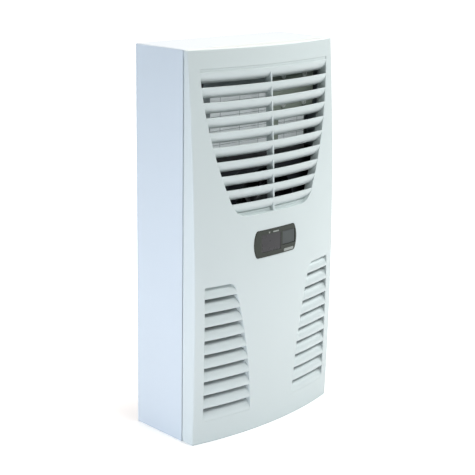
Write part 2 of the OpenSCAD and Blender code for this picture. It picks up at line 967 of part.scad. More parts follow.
module compressor_feet() {
    color([0.05, 0.05, 0.05])
        for (x = [-foot_x, foot_x], y = [-foot_y, foot_y])
            difference() {
                union() {
                    rod_z(x, comp_y + y, foot_d, wall_t, comp_z - base_t);
                    rod_z(x, comp_y + y, nut_d, comp_z - base_t, comp_z);
                }
                rod_z(x, comp_y + y, bolt_d + 2 * seat_gap, 0, comp_z + over);
            }
}

module compressor_bolts() {
    color([0.7, 0.71, 0.73])
        for (x = [-foot_x, foot_x], y = [-foot_y, foot_y])
            union() {
                rod_z(x, comp_y + y, bolt_d, 0, comp_z + nut_h);
                translate([x, comp_y + y, comp_z])
                    cylinder(d = nut_d, h = nut_h, $fn = 6);
            }
}

module compressor_terminal_cover() {
    r = comp_d / 2 - seam_out;
    z0 = comp_z + dome_r + term_cover_lift;
    color([0.13, 0.13, 0.14])
        difference() {
            block(r - term_cover_d / 2, r + term_cover_d, comp_y - term_cover_w / 2,
                comp_y + term_cover_w / 2, z0, z0 + term_cover_h);
            rod_z(0, comp_y, 2 * r, z0 - over, z0 + term_cover_h + over);
        }
}

// Condenser

module condenser_fins() {
    color([0.78, 0.8, 0.82])
        fin_pack(cond_half, cond_y, cond_z, cond_col, cond_rows, cond_row);
}

module condenser_tubes() {
    color([0.72, 0.45, 0.3])
        tube_pack(cond_half + sheet_t, cond_y, cond_z, cond_col, cond_rows, cond_row);
}

module condenser_end_plates() {
    color([0.76, 0.78, 0.79])
        for (side = [-1, 1])
            difference() {
                union() {
                    block(side * cond_half - sheet_t / 2, side * cond_half + sheet_t / 2,
                        cond_y, div_y, cond_z, cond_z + cond_h);
                    block(side * cond_half - (side > 0 ? plate_foot : 0),
                        side * cond_half + (side > 0 ? 0 : plate_foot),
                        div_y - sheet_t, div_y, cond_z, cond_z + cond_h);
                }
                tube_holes(side * cond_half - sheet_t, side * cond_half + sheet_t,
                    cond_y, cond_z, cond_col, cond_rows, cond_row);
            }
}

// Outer fan

module outer_fan_plate() {
    z0 = cond_top + plate_gap;
    z1 = box_z - plate_gap;
    ring_in = outer_fan_d + 2 * ring_gap;
    color([0.3, 0.32, 0.33])
        difference() {
            union() {
                block(-plate_half, plate_half, plate_y, plate_y + sheet_t, z0, z1);
                for (side = [-1, 1])
                    block(side * plate_half - sheet_t / 2, side * plate_half + sheet_t / 2,
                        plate_y, div_y, z0, z1);
                block(-half_w + return_w + base_gap, half_w - return_w - base_gap,
                    cond_y, plate_y, z0, z0 + sheet_t);
                rod_y(0, outer_z, ring_in + 2 * ring_t, ring_front, plate_y + sheet_t);
            }
            rod_y(0, outer_z, ring_in, ring_front - over, plate_y + sheet_t + over);
        }
}

module outer_fan_motor() {
    y0 = plate_y + sheet_t;
    y1 = y0 + spider_t;
    arm = outer_fan_d / 2 + ring_gap + spider_w;
    front = ring_front + hub_wall + 2 * seat_gap;
    color([0.12, 0.12, 0.13])
        difference() {
            union() {
                rod_y(0, outer_z, outer_motor_d, front + hub_wall, y1);
                for (a = [45, 135])
                    translate([0, y1, outer_z])
                        rotate([90, a, 0])
                            translate([-arm, -spider_w / 2, 0])
                                cube([2 * arm, spider_w, spider_t]);
            }
            rod_y(0, outer_z, shaft_d + 2 * run_gap, front, y1 - hub_wall);
        }
}

module outer_fan_shaft() {
    y0 = ring_front;
    y1 = plate_y + sheet_t + spider_t - hub_wall - seat_gap;
    color([0.75, 0.75, 0.76])
        rod_y(0, outer_z, shaft_d, y0, y1);
}

module outer_fan_wheel() {
    y1 = plate_y - seat_gap;
    r_in = outer_hub_d / 2;
    color([0.07, 0.07, 0.08])
        union() {
            difference() {
                rod_y(0, outer_z, outer_hub_d, ring_front, y1);
                rod_y(0, outer_z, outer_hub_d - 2 * hub_wall, ring_front + hub_wall, y1 + over);
                rod_y(0, outer_z, shaft_d, ring_front - over, y1);
            }
            intersection() {
                difference() {
                    rod_y(0, outer_z, outer_fan_d, ring_front, y1);
                    rod_y(0, outer_z, outer_hub_d - hub_wall, ring_front - over, y1 + over);
                }
                for (i = [0 : outer_blades - 1])
                    translate([0, (ring_front + y1) / 2, outer_z])
                        rotate([0, i * 360 / outer_blades, 0])
                            translate([r_in - hub_wall, 0, 0])
                                rotate([90 - blade_angle, 0, 0])
                                    translate([0, -blade_t / 2, -blade_chord / 2])
                                        cube([outer_fan_d / 2, blade_t, blade_chord]);
            }
        }
}

// Refrigerant circuit

module filter_dryer() {
    sleeve_d = pipe_d + 2 * sleeve_t;
    color([0.7, 0.42, 0.27])
        union() {
            rod_z(dryer_x, dryer_y, dryer_d, dryer_z, dryer_z + dryer_h);
            for (z = [dryer_z, dryer_z + dryer_h])
                translate([dryer_x, dryer_y, z])
                    sphere(d = dryer_d);
            rod_z(dryer_x, dryer_y, sleeve_d, dryer_low, dryer_z);
            rod_z(dryer_x, dryer_y, sleeve_d, dryer_z + dryer_h, dryer_top);
        }
}

module dryer_bracket() {
    z0 = dryer_z + dryer_h / 2;
    band = dryer_band;
    grip = dryer_d + 2 * sheet_t;
    color([0.74, 0.76, 0.77])
        difference() {
            union() {
                rod_z(dryer_x, dryer_y, grip, z0, z0 + band);
                block(dryer_x - sheet_t, dryer_x + sheet_t, dryer_y, in_back, z0, z0 + band);
                block(dryer_x - band, dryer_x + band, in_back - sheet_t, in_back, z0, z0 + band);
            }
            rod_z(dryer_x, dryer_y, dryer_d, z0 - over, z0 + band + over);
        }
}

module hot_gas_pipe() {
    color([0.72, 0.45, 0.3])
        pipe([
            [stub_x, comp_y, comp_top],
            [stub_x, comp_y, pipe_high],
            [stub_x, cond_in[1], pipe_high],
            [-cond_riser_x, cond_in[1], pipe_high],
            [-cond_riser_x, cond_in[1], cond_in[2]],
            cond_in], pipe_d);
}

module liquid_pipe() {
    under = dryer_low - pipe_d;
    color([0.72, 0.45, 0.3])
        union() {
            pipe([
                cond_out,
                [-cond_riser_x, cond_out[1], cond_out[2]],
                [-cond_riser_x, cond_out[1], pipe_low],
                [dryer_x, cond_out[1], pipe_low],
                [dryer_x, dryer_y, pipe_low],
                [dryer_x, dryer_y, dryer_top]], pipe_d);
            pipe([
                [dryer_x, dryer_y, dryer_low],
                [dryer_x, dryer_y, under],
                [-riser_x, dryer_y, under],
                [-riser_x, evap_in[1], under],
                [-riser_x, evap_in[1], valve_z]], pipe_d);
            pipe([
                [-riser_x, evap_in[1], valve_z + valve_h],
                [-riser_x, evap_in[1], evap_in[2]],
                evap_in], pipe_d);
        }
}

module expansion_valve() {
    x1 = -riser_x + valve_w / 2;
    color([0.75, 0.62, 0.35])
        union() {
            block(-in_x, x1, evap_in[1] - valve_d / 2, evap_in[1] + valve_d / 2,
                valve_z, valve_z + valve_h);
            rod_x(evap_in[1], valve_z + valve_h / 2, valve_cap_d, x1, x1 + valve_cap_h);
        }
}

module suction_pipe() {
    color([0.72, 0.45, 0.3])
        pipe([
            evap_out,
            [-riser_x, evap_out[1], evap_out[2]],
            [-riser_x, evap_out[1], pipe_high],
            [-stub_x, evap_out[1], pipe_high],
            [-stub_x, comp_y, pipe_high],
            [-stub_x, comp_y, comp_top]], pipe_d);
}

// Electrics box behind the upper grille on the right

// Front view of the box: the lower right corner is left free
module elec_outline(inset) {
    polygon([
        [elec_left + inset, box_z + inset],
        [elec_right - elec_notch_w - inset, box_z + inset],
        [elec_right - elec_notch_w - inset, box_z + elec_notch_h + inset],
        [elec_right - inset, box_z + elec_notch_h + inset],
        [elec_right - inset, box_top - inset],
        [elec_left + inset, box_top - inset]]);
}

module electrics_box() {
    y0 = box_front + sheet_t;
    color([0.42, 0.45, 0.43])
        difference() {
            union() {
                difference() {
                    front_cut(y0, div_y)
                        elec_outline(0);
                    front_cut(y0 - over, div_y - sheet_t)
                        elec_outline(sheet_t);
                }
                at_corners(screw_span_x, screw_span_z, screw_x, screw_z)
                    rod_y(0, 0, post_d, y0, div_y - sheet_t / 2);
            }
            at_corners(screw_span_x, screw_span_z, screw_x, screw_z)
                rod_y(0, 0, screw_d, y0 - over, y0 + screw_l);
        }
}

module electrics_lid() {
    color([0.36, 0.39, 0.36])
        difference() {
            front_cut(box_front, box_front + sheet_t)
                elec_outline(0);
            at_corners(screw_span_x, screw_span_z, screw_x, screw_z)
                rod_y(0, 0, screw_d, box_front - over, box_front + sheet_t + over);
        }
}

module lid_screws() {
    color([0.85, 0.86, 0.87])
        at_corners(screw_span_x, screw_span_z, screw_x, screw_z)
            union() {
                rod_y(0, 0, screw_head_d, box_front - screw_head_h, box_front);
                rod_y(0, 0, screw_d, box_front, box_front + sheet_t + screw_l - seat_gap);
            }
}

module wiring_label() {
    color([0.8, 0.82, 0.82])
        block(elec_left + wiring_left, elec_right - elec_notch_w - sheet_t, box_front - label_t,
            box_front, box_z + sheet_t, box_z + elec_notch_h - sheet_t);
}

module control_board() {
    y1 = div_y - sheet_t - board_gap;
    y0 = y1 - board_t;
    x0 = elec_left + 2 * sheet_t;
    x1 = elec_right - elec_notch_w - 2 * sheet_t;
    z0 = box_z + 2 * sheet_t;
    z1 = screw_z - screw_span_z / 2 - post_d / 2 - seat_gap;
    color([0.1, 0.35, 0.2])
        union() {
            block(x0, x1, y0, y1, z0, z1);
            for (x = [x0, x1 - relay_h])
                block(x, x + relay_h, y0 - relay_d, y0, z0, z0 + relay_w);
            for (x = [x0, x1 - board_gap], z = [z0, z1 - board_gap])
                block(x, x + board_gap, y1, div_y - sheet_t, z, z + board_gap);
        }
}

module run_capacitor() {
    color([0.85, 0.86, 0.87])
        rod_x(div_y - sheet_t - cap_d / 2, screw_z, cap_d, screw_x - cap_h / 2, screw_x + cap_h / 2);
}

// Rear terminals: the plug pulls out of the header to the back

module terminal_header() {
    w = socket_w / 2 + socket_wall;
    h = socket_h / 2 + socket_wall;
    color([0.18, 0.45, 0.26])
        difference() {
            block(term_x - w, term_x + w, in_back - socket_d - socket_wall, in_back,
                term_z - h, term_z + h);
            block(term_x - socket_w / 2, term_x + socket_w / 2, in_back - socket_d,
                in_back + over, term_z - socket_h / 2, term_z + socket_h / 2);
        }
}

module terminal_plug() {
    w = socket_w / 2 - plug_gap;
    h = socket_h / 2 - plug_gap;
    step = socket_w / wire_holes;
    color([0.2, 0.5, 0.3])
        difference() {
            block(term_x - w, term_x + w, in_back - socket_d + plug_gap, case_back,
                term_z - h, term_z + h);
            for (i = [0 : wire_holes - 1])
                rod_y(term_x + (i - (wire_holes - 1) / 2) * step, term_z, wire_hole_d,
                    case_back - socket_d / 2, case_back + over);
        }
}

// Front cover and the clips that it slides into

module cover_clips() {
    color([0.9, 0.91, 0.92])
        for (x = [-peg_x, peg_x], z = [peg_low, peg_high])
            difference() {
                union() {
                    rod_y(x, z, clip_head_d, case_front - clip_head_t, case_front);
                    rod_y(x, z, clip_d, case_front, case_front + clip_l);
                }
                rod_y(x, z, peg_d + 2 * run_gap, case_front - clip_head_t - over,
                    case_front + clip_l + over);
            }
}

module front_cover() {
    slat_lips = [for (i = [0 : slat_count - 1]) grille_lip - i * slat_pitch];
    louvre_lips = [for (i = [0 : louvre_count]) louvre_z + i * slat_pitch];
    color([0.84, 0.87, 0.86])
        union() {
            difference() {
                front_body(0, 0, cover_back);
                front_body(cover_t, cover_t, cover_back + over);
                front_cut(front_y - over, cover_back)
                    grille_outline(0);
                front_cut(front_y - over, cover_back)
                    louvre_outlines(0);
                front_cut(front_y - over, cover_back)
                    display_outline(seat_gap);
            }
            // Collars round the grille and the louvres
            intersection() {
                front_layer(0, collar_d);
                front_cut(front_y - over, cover_back)
                    difference() {
                        union() {
                            grille_outline(collar_t);
                            louvre_outlines(collar_t);
                        }
                        grille_outline(0);
                        louvre_outlines(0);
                    }
            }
            // Sill above the first slat
            intersection() {
                front_layer(sill_inset, collar_d);
                front_cut(front_y - over, cover_back)
                    intersection() {
                        grille_outline(0);
                        translate([-half_w, grille_lip - slat_t])
                            square([unit_w, slat_t + sill_h]);
                    }
            }
            // Centre rib
            intersection() {
                front_layer(rib_inset, collar_d);
                front_cut(front_y - over, cover_back)
                    translate([rib_x - rib_w / 2, grille_bottom])
                        square([rib_w, grille_top - grille_bottom]);
            }
            slat_rings(slat_lips, -1)
                grille_outline(collar_t / 2);
            slat_rings(louvre_lips, 1)
                louvre_outlines(collar_t / 2);
            for (x = [-peg_x, peg_x], z = [peg_low, peg_high])
                rod_y(x, z, peg_d, skin_y(x, z, cover_t / 2), peg_end);
        }
}

// Display panel, carried by the front cover

module display_bezel() {
    y1 = front_y + bezel_back;
    color([0.25, 0.27, 0.25])
        difference() {
            union() {
                intersection() {
                    front_body(-bezel_proud, 0, cover_back);
                    front_cut(front_y - bezel_proud - over, y1)
                        display_outline(0);
                }
                intersection() {
                    front_layer(cover_t + run_gap, cover_t + run_gap + bezel_wall);
                    front_cut(front_y, cover_back)
                        display_outline(bezel_flange);
                }
            }
            front_cut(front_y + bezel_t, y1 + over)
                display_outline(-bezel_wall);
            front_cut(front_y - over - bezel_proud, y1)
                translate([window_x - window_w / 2, display_z - window_h / 2])
                    square([window_w, window_h]);
            front_cut(front_y - over - bezel_proud, y1)
                translate([key_x - key_w / 2, display_z + key_rise - key_h / 2])
                    square([key_w, key_h]);
        }
}

module display_window() {
    color([0.12, 0.13, 0.13])
        intersection() {
            difference() {
                front_body(window_sunk - bezel_proud, 0, cover_back);
                front_body(window_sunk + bezel_t, -over, cover_back + over);
            }
            front_cut(front_y - bezel_proud, cover_back)
                translate([window_x - window_w / 2, display_z - window_h / 2])
                    square([window_w, window_h]);
        }
}

module display_key() {
    color([0.4, 0.42, 0.4])
        intersection() {
            difference() {
                front_body(0, 0, cover_back);
                front_body(bezel_t, -over, cover_back + over);
            }
            front_cut(front_y, cover_back)
                translate([key_x - key_w / 2, display_z + key_rise - key_h / 2])
                    translate([seat_gap, seat_gap])
                        square([key_w - 2 * seat_gap, key_h - 2 * seat_gap]);
        }
}

module display_board() {
    y1 = front_y + bezel_back;
    y0 = y1 - board_t;
    x1 = display_w / 2 - display_bulge - bezel_wall - board_margin;
    z1 = display_h / 2 - bezel_wall - seat_gap;
    color([0.1, 0.35, 0.2])
        block(-x1, x1, y0, y1, display_z - z1, display_z + z1);
}

housing_shell();
rear_panel();
rear_gasket();
mounting_nuts();
inlet_guard();
divider_wall();
cold_side_foam();
fan_bay_box();
fan_bay_foam();
rating_label();
inner_fan_motor();
inner_fan_shaft();
inner_fan_wheel();
inlet_bell();
intake_sensor();
evaporator_fins();
evaporator_tubes();
evaporator_end_plates();
condensate_tray();
drain_hose();
drain_spigot();
compressor_shell();
compressor_base();
compressor_feet();
compressor_bolts();
compressor_terminal_cover();
condenser_fins();
condenser_tubes();
condenser_end_plates();
outer_fan_plate();
outer_fan_motor();
outer_fan_shaft();
outer_fan_wheel();
filter_dryer();
dryer_bracket();
expansion_valve();
hot_gas_pipe();
liquid_pipe();
suction_pipe();
electrics_box();
electrics_lid();
lid_screws();
wiring_label();
control_board();
run_capacitor();
terminal_header();
terminal_plug();
cover_clips();
front_cover();
display_bezel();
display_window();
display_key();
display_board();
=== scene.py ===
# %% [markdown]
# # A wall-mounted cooling unit for an electrical enclosure
# A sheet-metal housing carries a compressor circuit and two fans, and a moulded cover with curved
# slats closes its front. The solids come packed from CAD. This script dresses them: it builds
# each piece again in mesh code at the same place, or takes a copy of its solid and softens the
# edges, and it gives every piece a finish.
#
# All points are written in millimetres, because the drawings are, and are turned to metres once,
# where the meshes are made. X runs to the right, Y to the back and Z up.

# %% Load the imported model
import math
import bmesh
import bpy
import numpy as np
from mathutils import Matrix, Vector, geometry


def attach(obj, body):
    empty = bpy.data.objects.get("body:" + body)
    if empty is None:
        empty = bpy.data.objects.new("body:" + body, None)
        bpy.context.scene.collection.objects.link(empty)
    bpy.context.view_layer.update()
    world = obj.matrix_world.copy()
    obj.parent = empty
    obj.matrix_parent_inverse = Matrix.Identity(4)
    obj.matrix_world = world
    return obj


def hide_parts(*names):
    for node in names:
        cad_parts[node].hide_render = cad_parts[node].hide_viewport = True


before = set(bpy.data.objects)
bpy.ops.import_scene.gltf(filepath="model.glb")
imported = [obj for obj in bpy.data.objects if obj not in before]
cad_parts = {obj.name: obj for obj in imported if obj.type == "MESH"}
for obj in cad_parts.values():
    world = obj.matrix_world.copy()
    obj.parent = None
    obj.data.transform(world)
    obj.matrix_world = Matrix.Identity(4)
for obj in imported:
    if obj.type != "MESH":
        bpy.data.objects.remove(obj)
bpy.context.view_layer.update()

MM = 0.001

# %% [markdown]
# ## Making meshes from points
# Each piece is a list of points and a list of faces. One helper turns such lists into an object,
# smooths it up to a crease angle and lets it ride on the body that carries it. Small machined or
# moulded edges are never perfectly sharp, and a narrow bevel catches the light along them. It
# could be modelled edge by edge, but a bevel modifier does it for every corner at once.

# %% Helpers for pieces
def mesh_from(name, points, faces):
    """A mesh from points in millimetres."""
    mesh = bpy.data.meshes.new(name)
    mesh.from_pydata([(x * MM, y * MM, z * MM) for x, y, z in points], [], faces)
    return mesh


def mesh_of(name, shape):
    """A mesh from (points in mm, faces), with every face turned outwards."""
    mesh = mesh_from(name, *shape)
    mesh.validate()
    work = bmesh.new()
    work.from_mesh(mesh)
    bmesh.ops.recalc_face_normals(work, faces=work.faces)
    work.to_mesh(mesh)
    work.free()
    return mesh


def placed(name, data):
    """An object in the scene, with a mesh, a lamp or a camera as its data."""
    obj = bpy.data.objects.new(name, data)
    bpy.context.scene.collection.objects.link(obj)
    return obj


def carved(obj, shapes):
    """Cuts closed shapes out of a piece."""
    tools = [placed("tool", mesh_of("tool", shape)) for shape in shapes]
    for tool in tools:
        cut = obj.modifiers.new("cut", "BOOLEAN")
        cut.operation, cut.solver, cut.object = "DIFFERENCE", "EXACT", tool
    whole = obj.data
    depsgraph = bpy.context.evaluated_depsgraph_get()
    obj.data = bpy.data.meshes.new_from_object(obj.evaluated_get(depsgraph))
    obj.modifiers.clear()
    bpy.data.meshes.remove(whole)
    for tool in tools:
        bpy.data.meshes.remove(tool.data)


BEVEL_ANGLE = math.radians(40)  # only edges that turn by more than this get a bevel


def registered(obj, body, stands_for):
    """Lets a piece ride on its body and hides the imported solids that it stands for."""
    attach(obj, body)
    if stands_for:
        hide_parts(*stands_for)
    print(obj.name, len(obj.data.polygons), "faces")
    return obj


def dressed(obj, finish, body, stands_for=(), crease=35, bevel=0.0):
    """Gives a piece its finish, its soft edges and the body that it rides on."""
    mesh = obj.data
    mesh.materials.clear()
    mesh.materials.append(finish)
    mesh.polygons.foreach_set("use_smooth", [True] * len(mesh.polygons))
    if bevel:
        edge = obj.modifiers.new("edges", "BEVEL")
        edge.width, edge.segments = bevel * MM, 2
        edge.limit_method, edge.angle_limit = "ANGLE", BEVEL_ANGLE
        edge.use_clamp_overlap = False
        obj.modifiers.new("flat_faces", "WEIGHTED_NORMAL").weight = 100
    else:
        mesh.set_sharp_from_angle(angle=math.radians(crease))
    return registered(obj, body, stands_for)


def piece(name, shape, finish, body="chassis", stands_for=(), crease=35, bevel=0.0, cuts=()):
    """Makes an object from (points in mm, faces) and lets it ride on a body."""
    obj = placed(name, mesh_of(name, shape))
    if cuts:
        carved(obj, cuts)
    return dressed(obj, finish, body, stands_for, crease, bevel)


def joined(*shapes):
    """Several shapes as one."""
    points, faces = [], []
    for pts, fcs in shapes:
        base = len(points)
        points += [tuple(p) for p in pts]
        faces += [tuple(base + i for i in f) for f in fcs]
    return points, faces


def skin_over(rows, closed_ends=False, caps=False):
    """Faces over rows of points. Each row is a closed loop, and all have the same length."""
    n, m = len(rows), len(rows[0])
    points = [tuple(p) for row in rows for p in row]
    faces = []
    for i in range(n if closed_ends else n - 1):
        for j in range(m):
            a, b = i * m + j, i * m + (j + 1) % m
            c, d = ((i + 1) % n) * m + (j + 1) % m, ((i + 1) % n) * m + j
            faces.append((a, b, c, d))
    if caps:
        faces.append(tuple(range(m))[::-1])
        faces.append(tuple((n - 1) * m + j for j in range(m)))
    return points, faces


# %% [markdown]
# ## Blocks, rods and bent sheet
# Most inner parts are boxes of folded sheet, turned rods and bent tube. A turned part is a
# profile of (radius, place along the axis) pairs that is revolved, the way a lathe works.

# %% Helpers for boxes, turned parts and tube
def block(x0, x1, y0, y1, z0, z1):
    """A plain box between two places on each axis."""
    pts = [(x, y, z) for x in (x0, x1) for y in (y0, y1) for z in (z0, z1)]
    return pts, [(0, 1, 3, 2), (4, 6, 7, 5), (0, 4, 5, 1), (2, 3, 7, 6), (0, 2, 6, 4), (1, 5, 7, 3)]


def along(axis, centre, radius, angle, place):
    """A point at an angle round an axis that runs along x, y or z."""
    a, b = radius * math.cos(angle), radius * math.sin(angle)
    cx, cy, cz = centre
    if axis == "x":
        return (place, cy + a, cz + b)
    if axis == "y":
        return (cx + b, place, cz + a)
    return (cx + a, cy + b, place)


def turned(profile, axis="y", centre=(0, 0, 0), steps=48, closed=False):
    """Revolves (radius, place) pairs. An open profile is capped at both ends."""
    rows = [[along(axis, centre, r, 2 * math.pi * k / steps, p) for k in range(steps)]
            for r, p in profile]
    return skin_over(rows, closed_ends=closed, caps=not closed)


def quarter_turn(steps):
    """The angles of an even quarter turn."""
    return [math.pi / 2 * k / steps for k in range(steps + 1)]


def rod(radius, start, end, axis="y", centre=(0, 0, 0), steps=32, edge=0.3):
    """A plain rod with chamfered ends."""
    way = 1 if end > start else -1
    e = min(edge, radius / 2, abs(end - start) / 3)
    return turned([(radius - e, start), (radius, start + way * e), (radius, end - way * e),
                   (radius - e, end)], axis, centre, steps)


def tube(outer, inner, start, end, axis="y", centre=(0, 0, 0), steps=48, edge=0.3):
    """A pipe stub with chamfered rims."""
    e = min(edge, (outer - inner) / 3)
    return turned([(inner, start), (outer - e, start), (outer, start + e), (outer, end - e),
                   (outer - e, end), (inner, end)], axis, centre, steps, closed=True)


def bent_path(corners, bend, steps=7):
    """A path with its corners rounded to a bend radius."""
    corners = [Vector(c) for c in corners]
    path = [corners[0]]
    for a, b, c in zip(corners, corners[1:], corners[2:]):
        u, v = (a - b).normalized(), (c - b).normalized()
        half = u.angle(v) / 2
        reach = min(bend / math.tan(half), (a - b).length * 0.49, (c - b).length * 0.49)
        r = reach * math.tan(half)
        middle = b + (u + v).normalized() * (r / math.sin(half))
        p, q = b + u * reach - middle, b + v * reach - middle
        turn = p.angle(q)
        axis = p.cross(q).normalized()
        for k in range(steps + 1):
            path.append(middle + Matrix.Rotation(turn * k / steps, 3, axis) @ p)
    return path + [corners[-1]]


def pipe_along(path, radius, steps):
    """A round rod that follows a path without twisting."""
    path = [Vector(p) for p in path]
    rows, side = [], None
    for i, p in enumerate(path):
        t = (path[min(i + 1, len(path) - 1)] - path[max(i - 1, 0)]).normalized()
        if side is None:
            side = t.cross(Vector((0, 0, 1)) if abs(t.z) < 0.9 else Vector((1, 0, 0)))
        side = (side - t * side.dot(t)).normalized()
        up = t.cross(side)
        rows.append([p + side * radius * math.cos(2 * math.pi * k / steps)
                     + up * radius * math.sin(2 * math.pi * k / steps) for k in range(steps)])
    return skin_over(rows, caps=True)


# %% [markdown]
# ## Finishes
# Every finish is worked out from noise in the piece's own coordinates, so it needs no picture and
# no unwrapping. Three things make a surface look real: the colour is never quite even, the gloss
# changes from place to place, and the fine relief breaks up the highlights. One helper sets up
# the shader with those three, and each finish then has its own scales and strengths.

# %% Helpers for finishes
def srgb(r, g, b):
    """A colour read off a screen, 0 to 255, as the linear values that shaders use."""
    return tuple((c / 255 / 12.92) if c <= 10 else ((c / 255 + 0.055) / 1.055) ** 2.4
                 for c in (r, g, b)) + (1.0,)


def add_node(tree, kind, inputs=None, **settings):
    """A new shader node. Each of its inputs gets a value or another node's output."""
    node = tree.nodes.new("ShaderNode" + kind)
    for name, value in settings.items():
        setattr(node, name, value)
    for socket, value in (inputs or {}).items():
        if isinstance(value, bpy.types.NodeSocket):
            tree.links.new(value, node.inputs[socket])
        else:
            node.inputs[socket].default_value = value
    return node


def new_finish(name, colour, roughness, metallic=0.0, tone=0.04, tone_scale=25.0, rough_play=0.05,
               rough_scale=140.0, grain=0.1, grain_scale=1800.0, grain_depth=0.00005,
               stretch=(1, 1, 1), worn=None, worn_width=0.6, mirror=0.5):
    """A shader with uneven colour, uneven gloss and fine relief. Scales are per metre.
    worn is the colour that shows along rubbed edges, mirror the strength of reflections."""
    finish = bpy.data.materials.new(name)
    finish.use_nodes = True
    tree = finish.node_tree
    shader = tree.nodes["Principled BSDF"]
    shader.inputs["Metallic"].default_value = metallic
    shader.inputs["Specular IOR Level"].default_value = mirror
    where = add_node(tree, "TexCoord").outputs["Object"]
    space = add_node(tree, "Mapping", {"Scale": stretch, "Vector": where}).outputs["Vector"]

    def noise(scale, detail):
        """Soft random patches, so many to the metre."""
        return add_node(tree, "TexNoise", {"Scale": scale, "Detail": detail,
                                           "Vector": space}).outputs["Fac"]

    dark = [c * (1 - tone) for c in colour[:3]]
    light = [min(1, c * (1 + tone)) for c in colour[:3]]
    result = add_node(tree, "Mix", {"Factor": noise(tone_scale, 4), "A": (*dark, 1),
                                    "B": (*light, 1)}, data_type="RGBA").outputs["Result"]
    if worn:
        # A rounded normal differs from the true one only near an edge. Their product is 1 on flat
        # ground: wear starts where it falls to 0.98, is full at 0.82, and noise breaks it up.
        rounded = add_node(tree, "Bevel", {"Radius": worn_width * MM}, samples=4)
        true = add_node(tree, "NewGeometry")
        same = add_node(tree, "VectorMath", {0: rounded.outputs["Normal"],
                                             1: true.outputs["Normal"]}, operation="DOT_PRODUCT")
        edge = add_node(tree, "MapRange", {"From Min": 0.98, "From Max": 0.82,
                                           "Value": same.outputs["Value"]})
        patchy = add_node(tree, "MapRange", {"From Min": 0.35, "From Max": 0.65,
                                             "Value": noise(220, 3)})
        amount = add_node(tree, "Math", {0: edge.outputs["Result"], 1: patchy.outputs["Result"]},
                          operation="MULTIPLY")
        result = add_node(tree, "Mix", {"Factor": amount.outputs[0], "A": result, "B": worn},
                          data_type="RGBA").outputs["Result"]
    tree.links.new(result, shader.inputs["Base Color"])

    spread = add_node(tree, "MapRange", {"Value": noise(rough_scale, 3),
                                         "To Min": max(0.02, roughness - rough_play),
                                         "To Max": min(1, roughness + rough_play)})
    tree.links.new(spread.outputs["Result"], shader.inputs["Roughness"])
    relief = add_node(tree, "Bump", {"Strength": grain, "Distance": grain_depth,
                                     "Height": noise(grain_scale, 2)})
    tree.links.new(relief.outputs["Normal"], shader.inputs["Normal"])
    return finish


# %% Finishes of the visible outside
cover_moulding = new_finish("cover_moulding", srgb(209, 217, 216), 0.42, tone=0.012,
                            tone_scale=9, rough_play=0.05, grain=0.25, grain_scale=2600)
housing_powder = new_finish("housing_powder", srgb(206, 215, 221), 0.48, tone=0.012,
                            tone_scale=7, rough_play=0.05, grain=0.35, grain_scale=1500,
                            grain_depth=0.00008, worn=srgb(222, 228, 232), worn_width=0.8)
bezel_moulding = new_finish("bezel_moulding", srgb(52, 56, 49), 0.55, mirror=0.3, tone=0.06,
                            tone_scale=60, grain=0.4, grain_scale=2200,
                            worn=srgb(92, 96, 88), worn_width=0.5)
window_smoked = new_finish("window_smoked", srgb(40, 38, 41), 0.28, mirror=0.35, tone=0.08,
                           tone_scale=80, rough_play=0.04, grain=0.05)
key_silicone = new_finish("key_silicone", srgb(78, 82, 81), 0.65, mirror=0.3, tone=0.05,
                          tone_scale=90, grain=0.3, worn=srgb(102, 105, 102), worn_width=0.6)

# %% Finishes of the metal and plastic inside
zinc_sheet = new_finish("galvanised_sheet", srgb(176, 179, 182), 0.42, metallic=0.85, tone=0.12,
                        tone_scale=90, rough_play=0.12, rough_scale=110, grain=0.15,
                        grain_scale=500, worn=srgb(206, 208, 210), worn_width=0.4)
zinc_hardware = new_finish("zinc_plated_steel", srgb(198, 200, 204), 0.3, metallic=1.0, tone=0.06,
                           tone_scale=300, grain=0.1, grain_scale=2500)
# A near-white, half-metallic copy of the plated zinc for the lid screws: a painted glint that keeps
# them bright behind the slats.
zinc_with_painted_glint = new_finish("zinc_with_painted_glint", srgb(240, 241, 238), 0.38, metallic=0.35, tone=0.05,
                         tone_scale=300, grain=0.08)
plated_wire = new_finish("plated_wire", srgb(200, 202, 206), 0.25, metallic=1.0, tone=0.05,
                         tone_scale=200, grain=0.08)
ground_steel = new_finish("ground_steel", srgb(170, 171, 175), 0.3, metallic=1.0, tone=0.06,
                          tone_scale=300, grain=0.2, grain_scale=900, stretch=(1, 6, 1))
fin_sheet = new_finish("fin_sheet", srgb(196, 200, 205), 0.35, metallic=0.9, tone=0.08,
                       tone_scale=60, rough_play=0.1, grain=0.1)
drawn_copper = new_finish("drawn_copper", srgb(190, 122, 90), 0.33, metallic=1.0, tone=0.18,
                          tone_scale=70, rough_play=0.12, grain=0.08)
turned_brass = new_finish("turned_brass", srgb(196, 166, 98), 0.3, metallic=1.0, tone=0.1,
                          tone_scale=150, grain=0.15, grain_scale=900)
drawn_can = new_finish("drawn_can", srgb(196, 199, 202), 0.35, metallic=0.9, tone=0.06,
                       tone_scale=80, grain=0.15, grain_scale=700, stretch=(1, 8, 8))
black_enamel = new_finish("black_enamel", srgb(30, 30, 32), 0.35, tone=0.2, tone_scale=30,
                          rough_play=0.1, grain=0.25, grain_scale=600,
                          worn=srgb(84, 82, 80), worn_width=0.5)
dark_enamel = new_finish("dark_enamel", srgb(46, 49, 54), 0.5, tone=0.08, tone_scale=20,
                         grain=0.3, grain_scale=1200, worn=srgb(96, 98, 100), worn_width=0.4)
box_enamel = new_finish("box_enamel", srgb(152, 159, 148), 0.5, tone=0.06, tone_scale=25,
                        grain=0.3, grain_scale=1400, worn=srgb(196, 198, 194), worn_width=0.5)
label_film = new_finish("label_film", srgb(250, 252, 254), 0.35, tone=0.02, tone_scale=40,
                        grain=0.05, grain_scale=300)
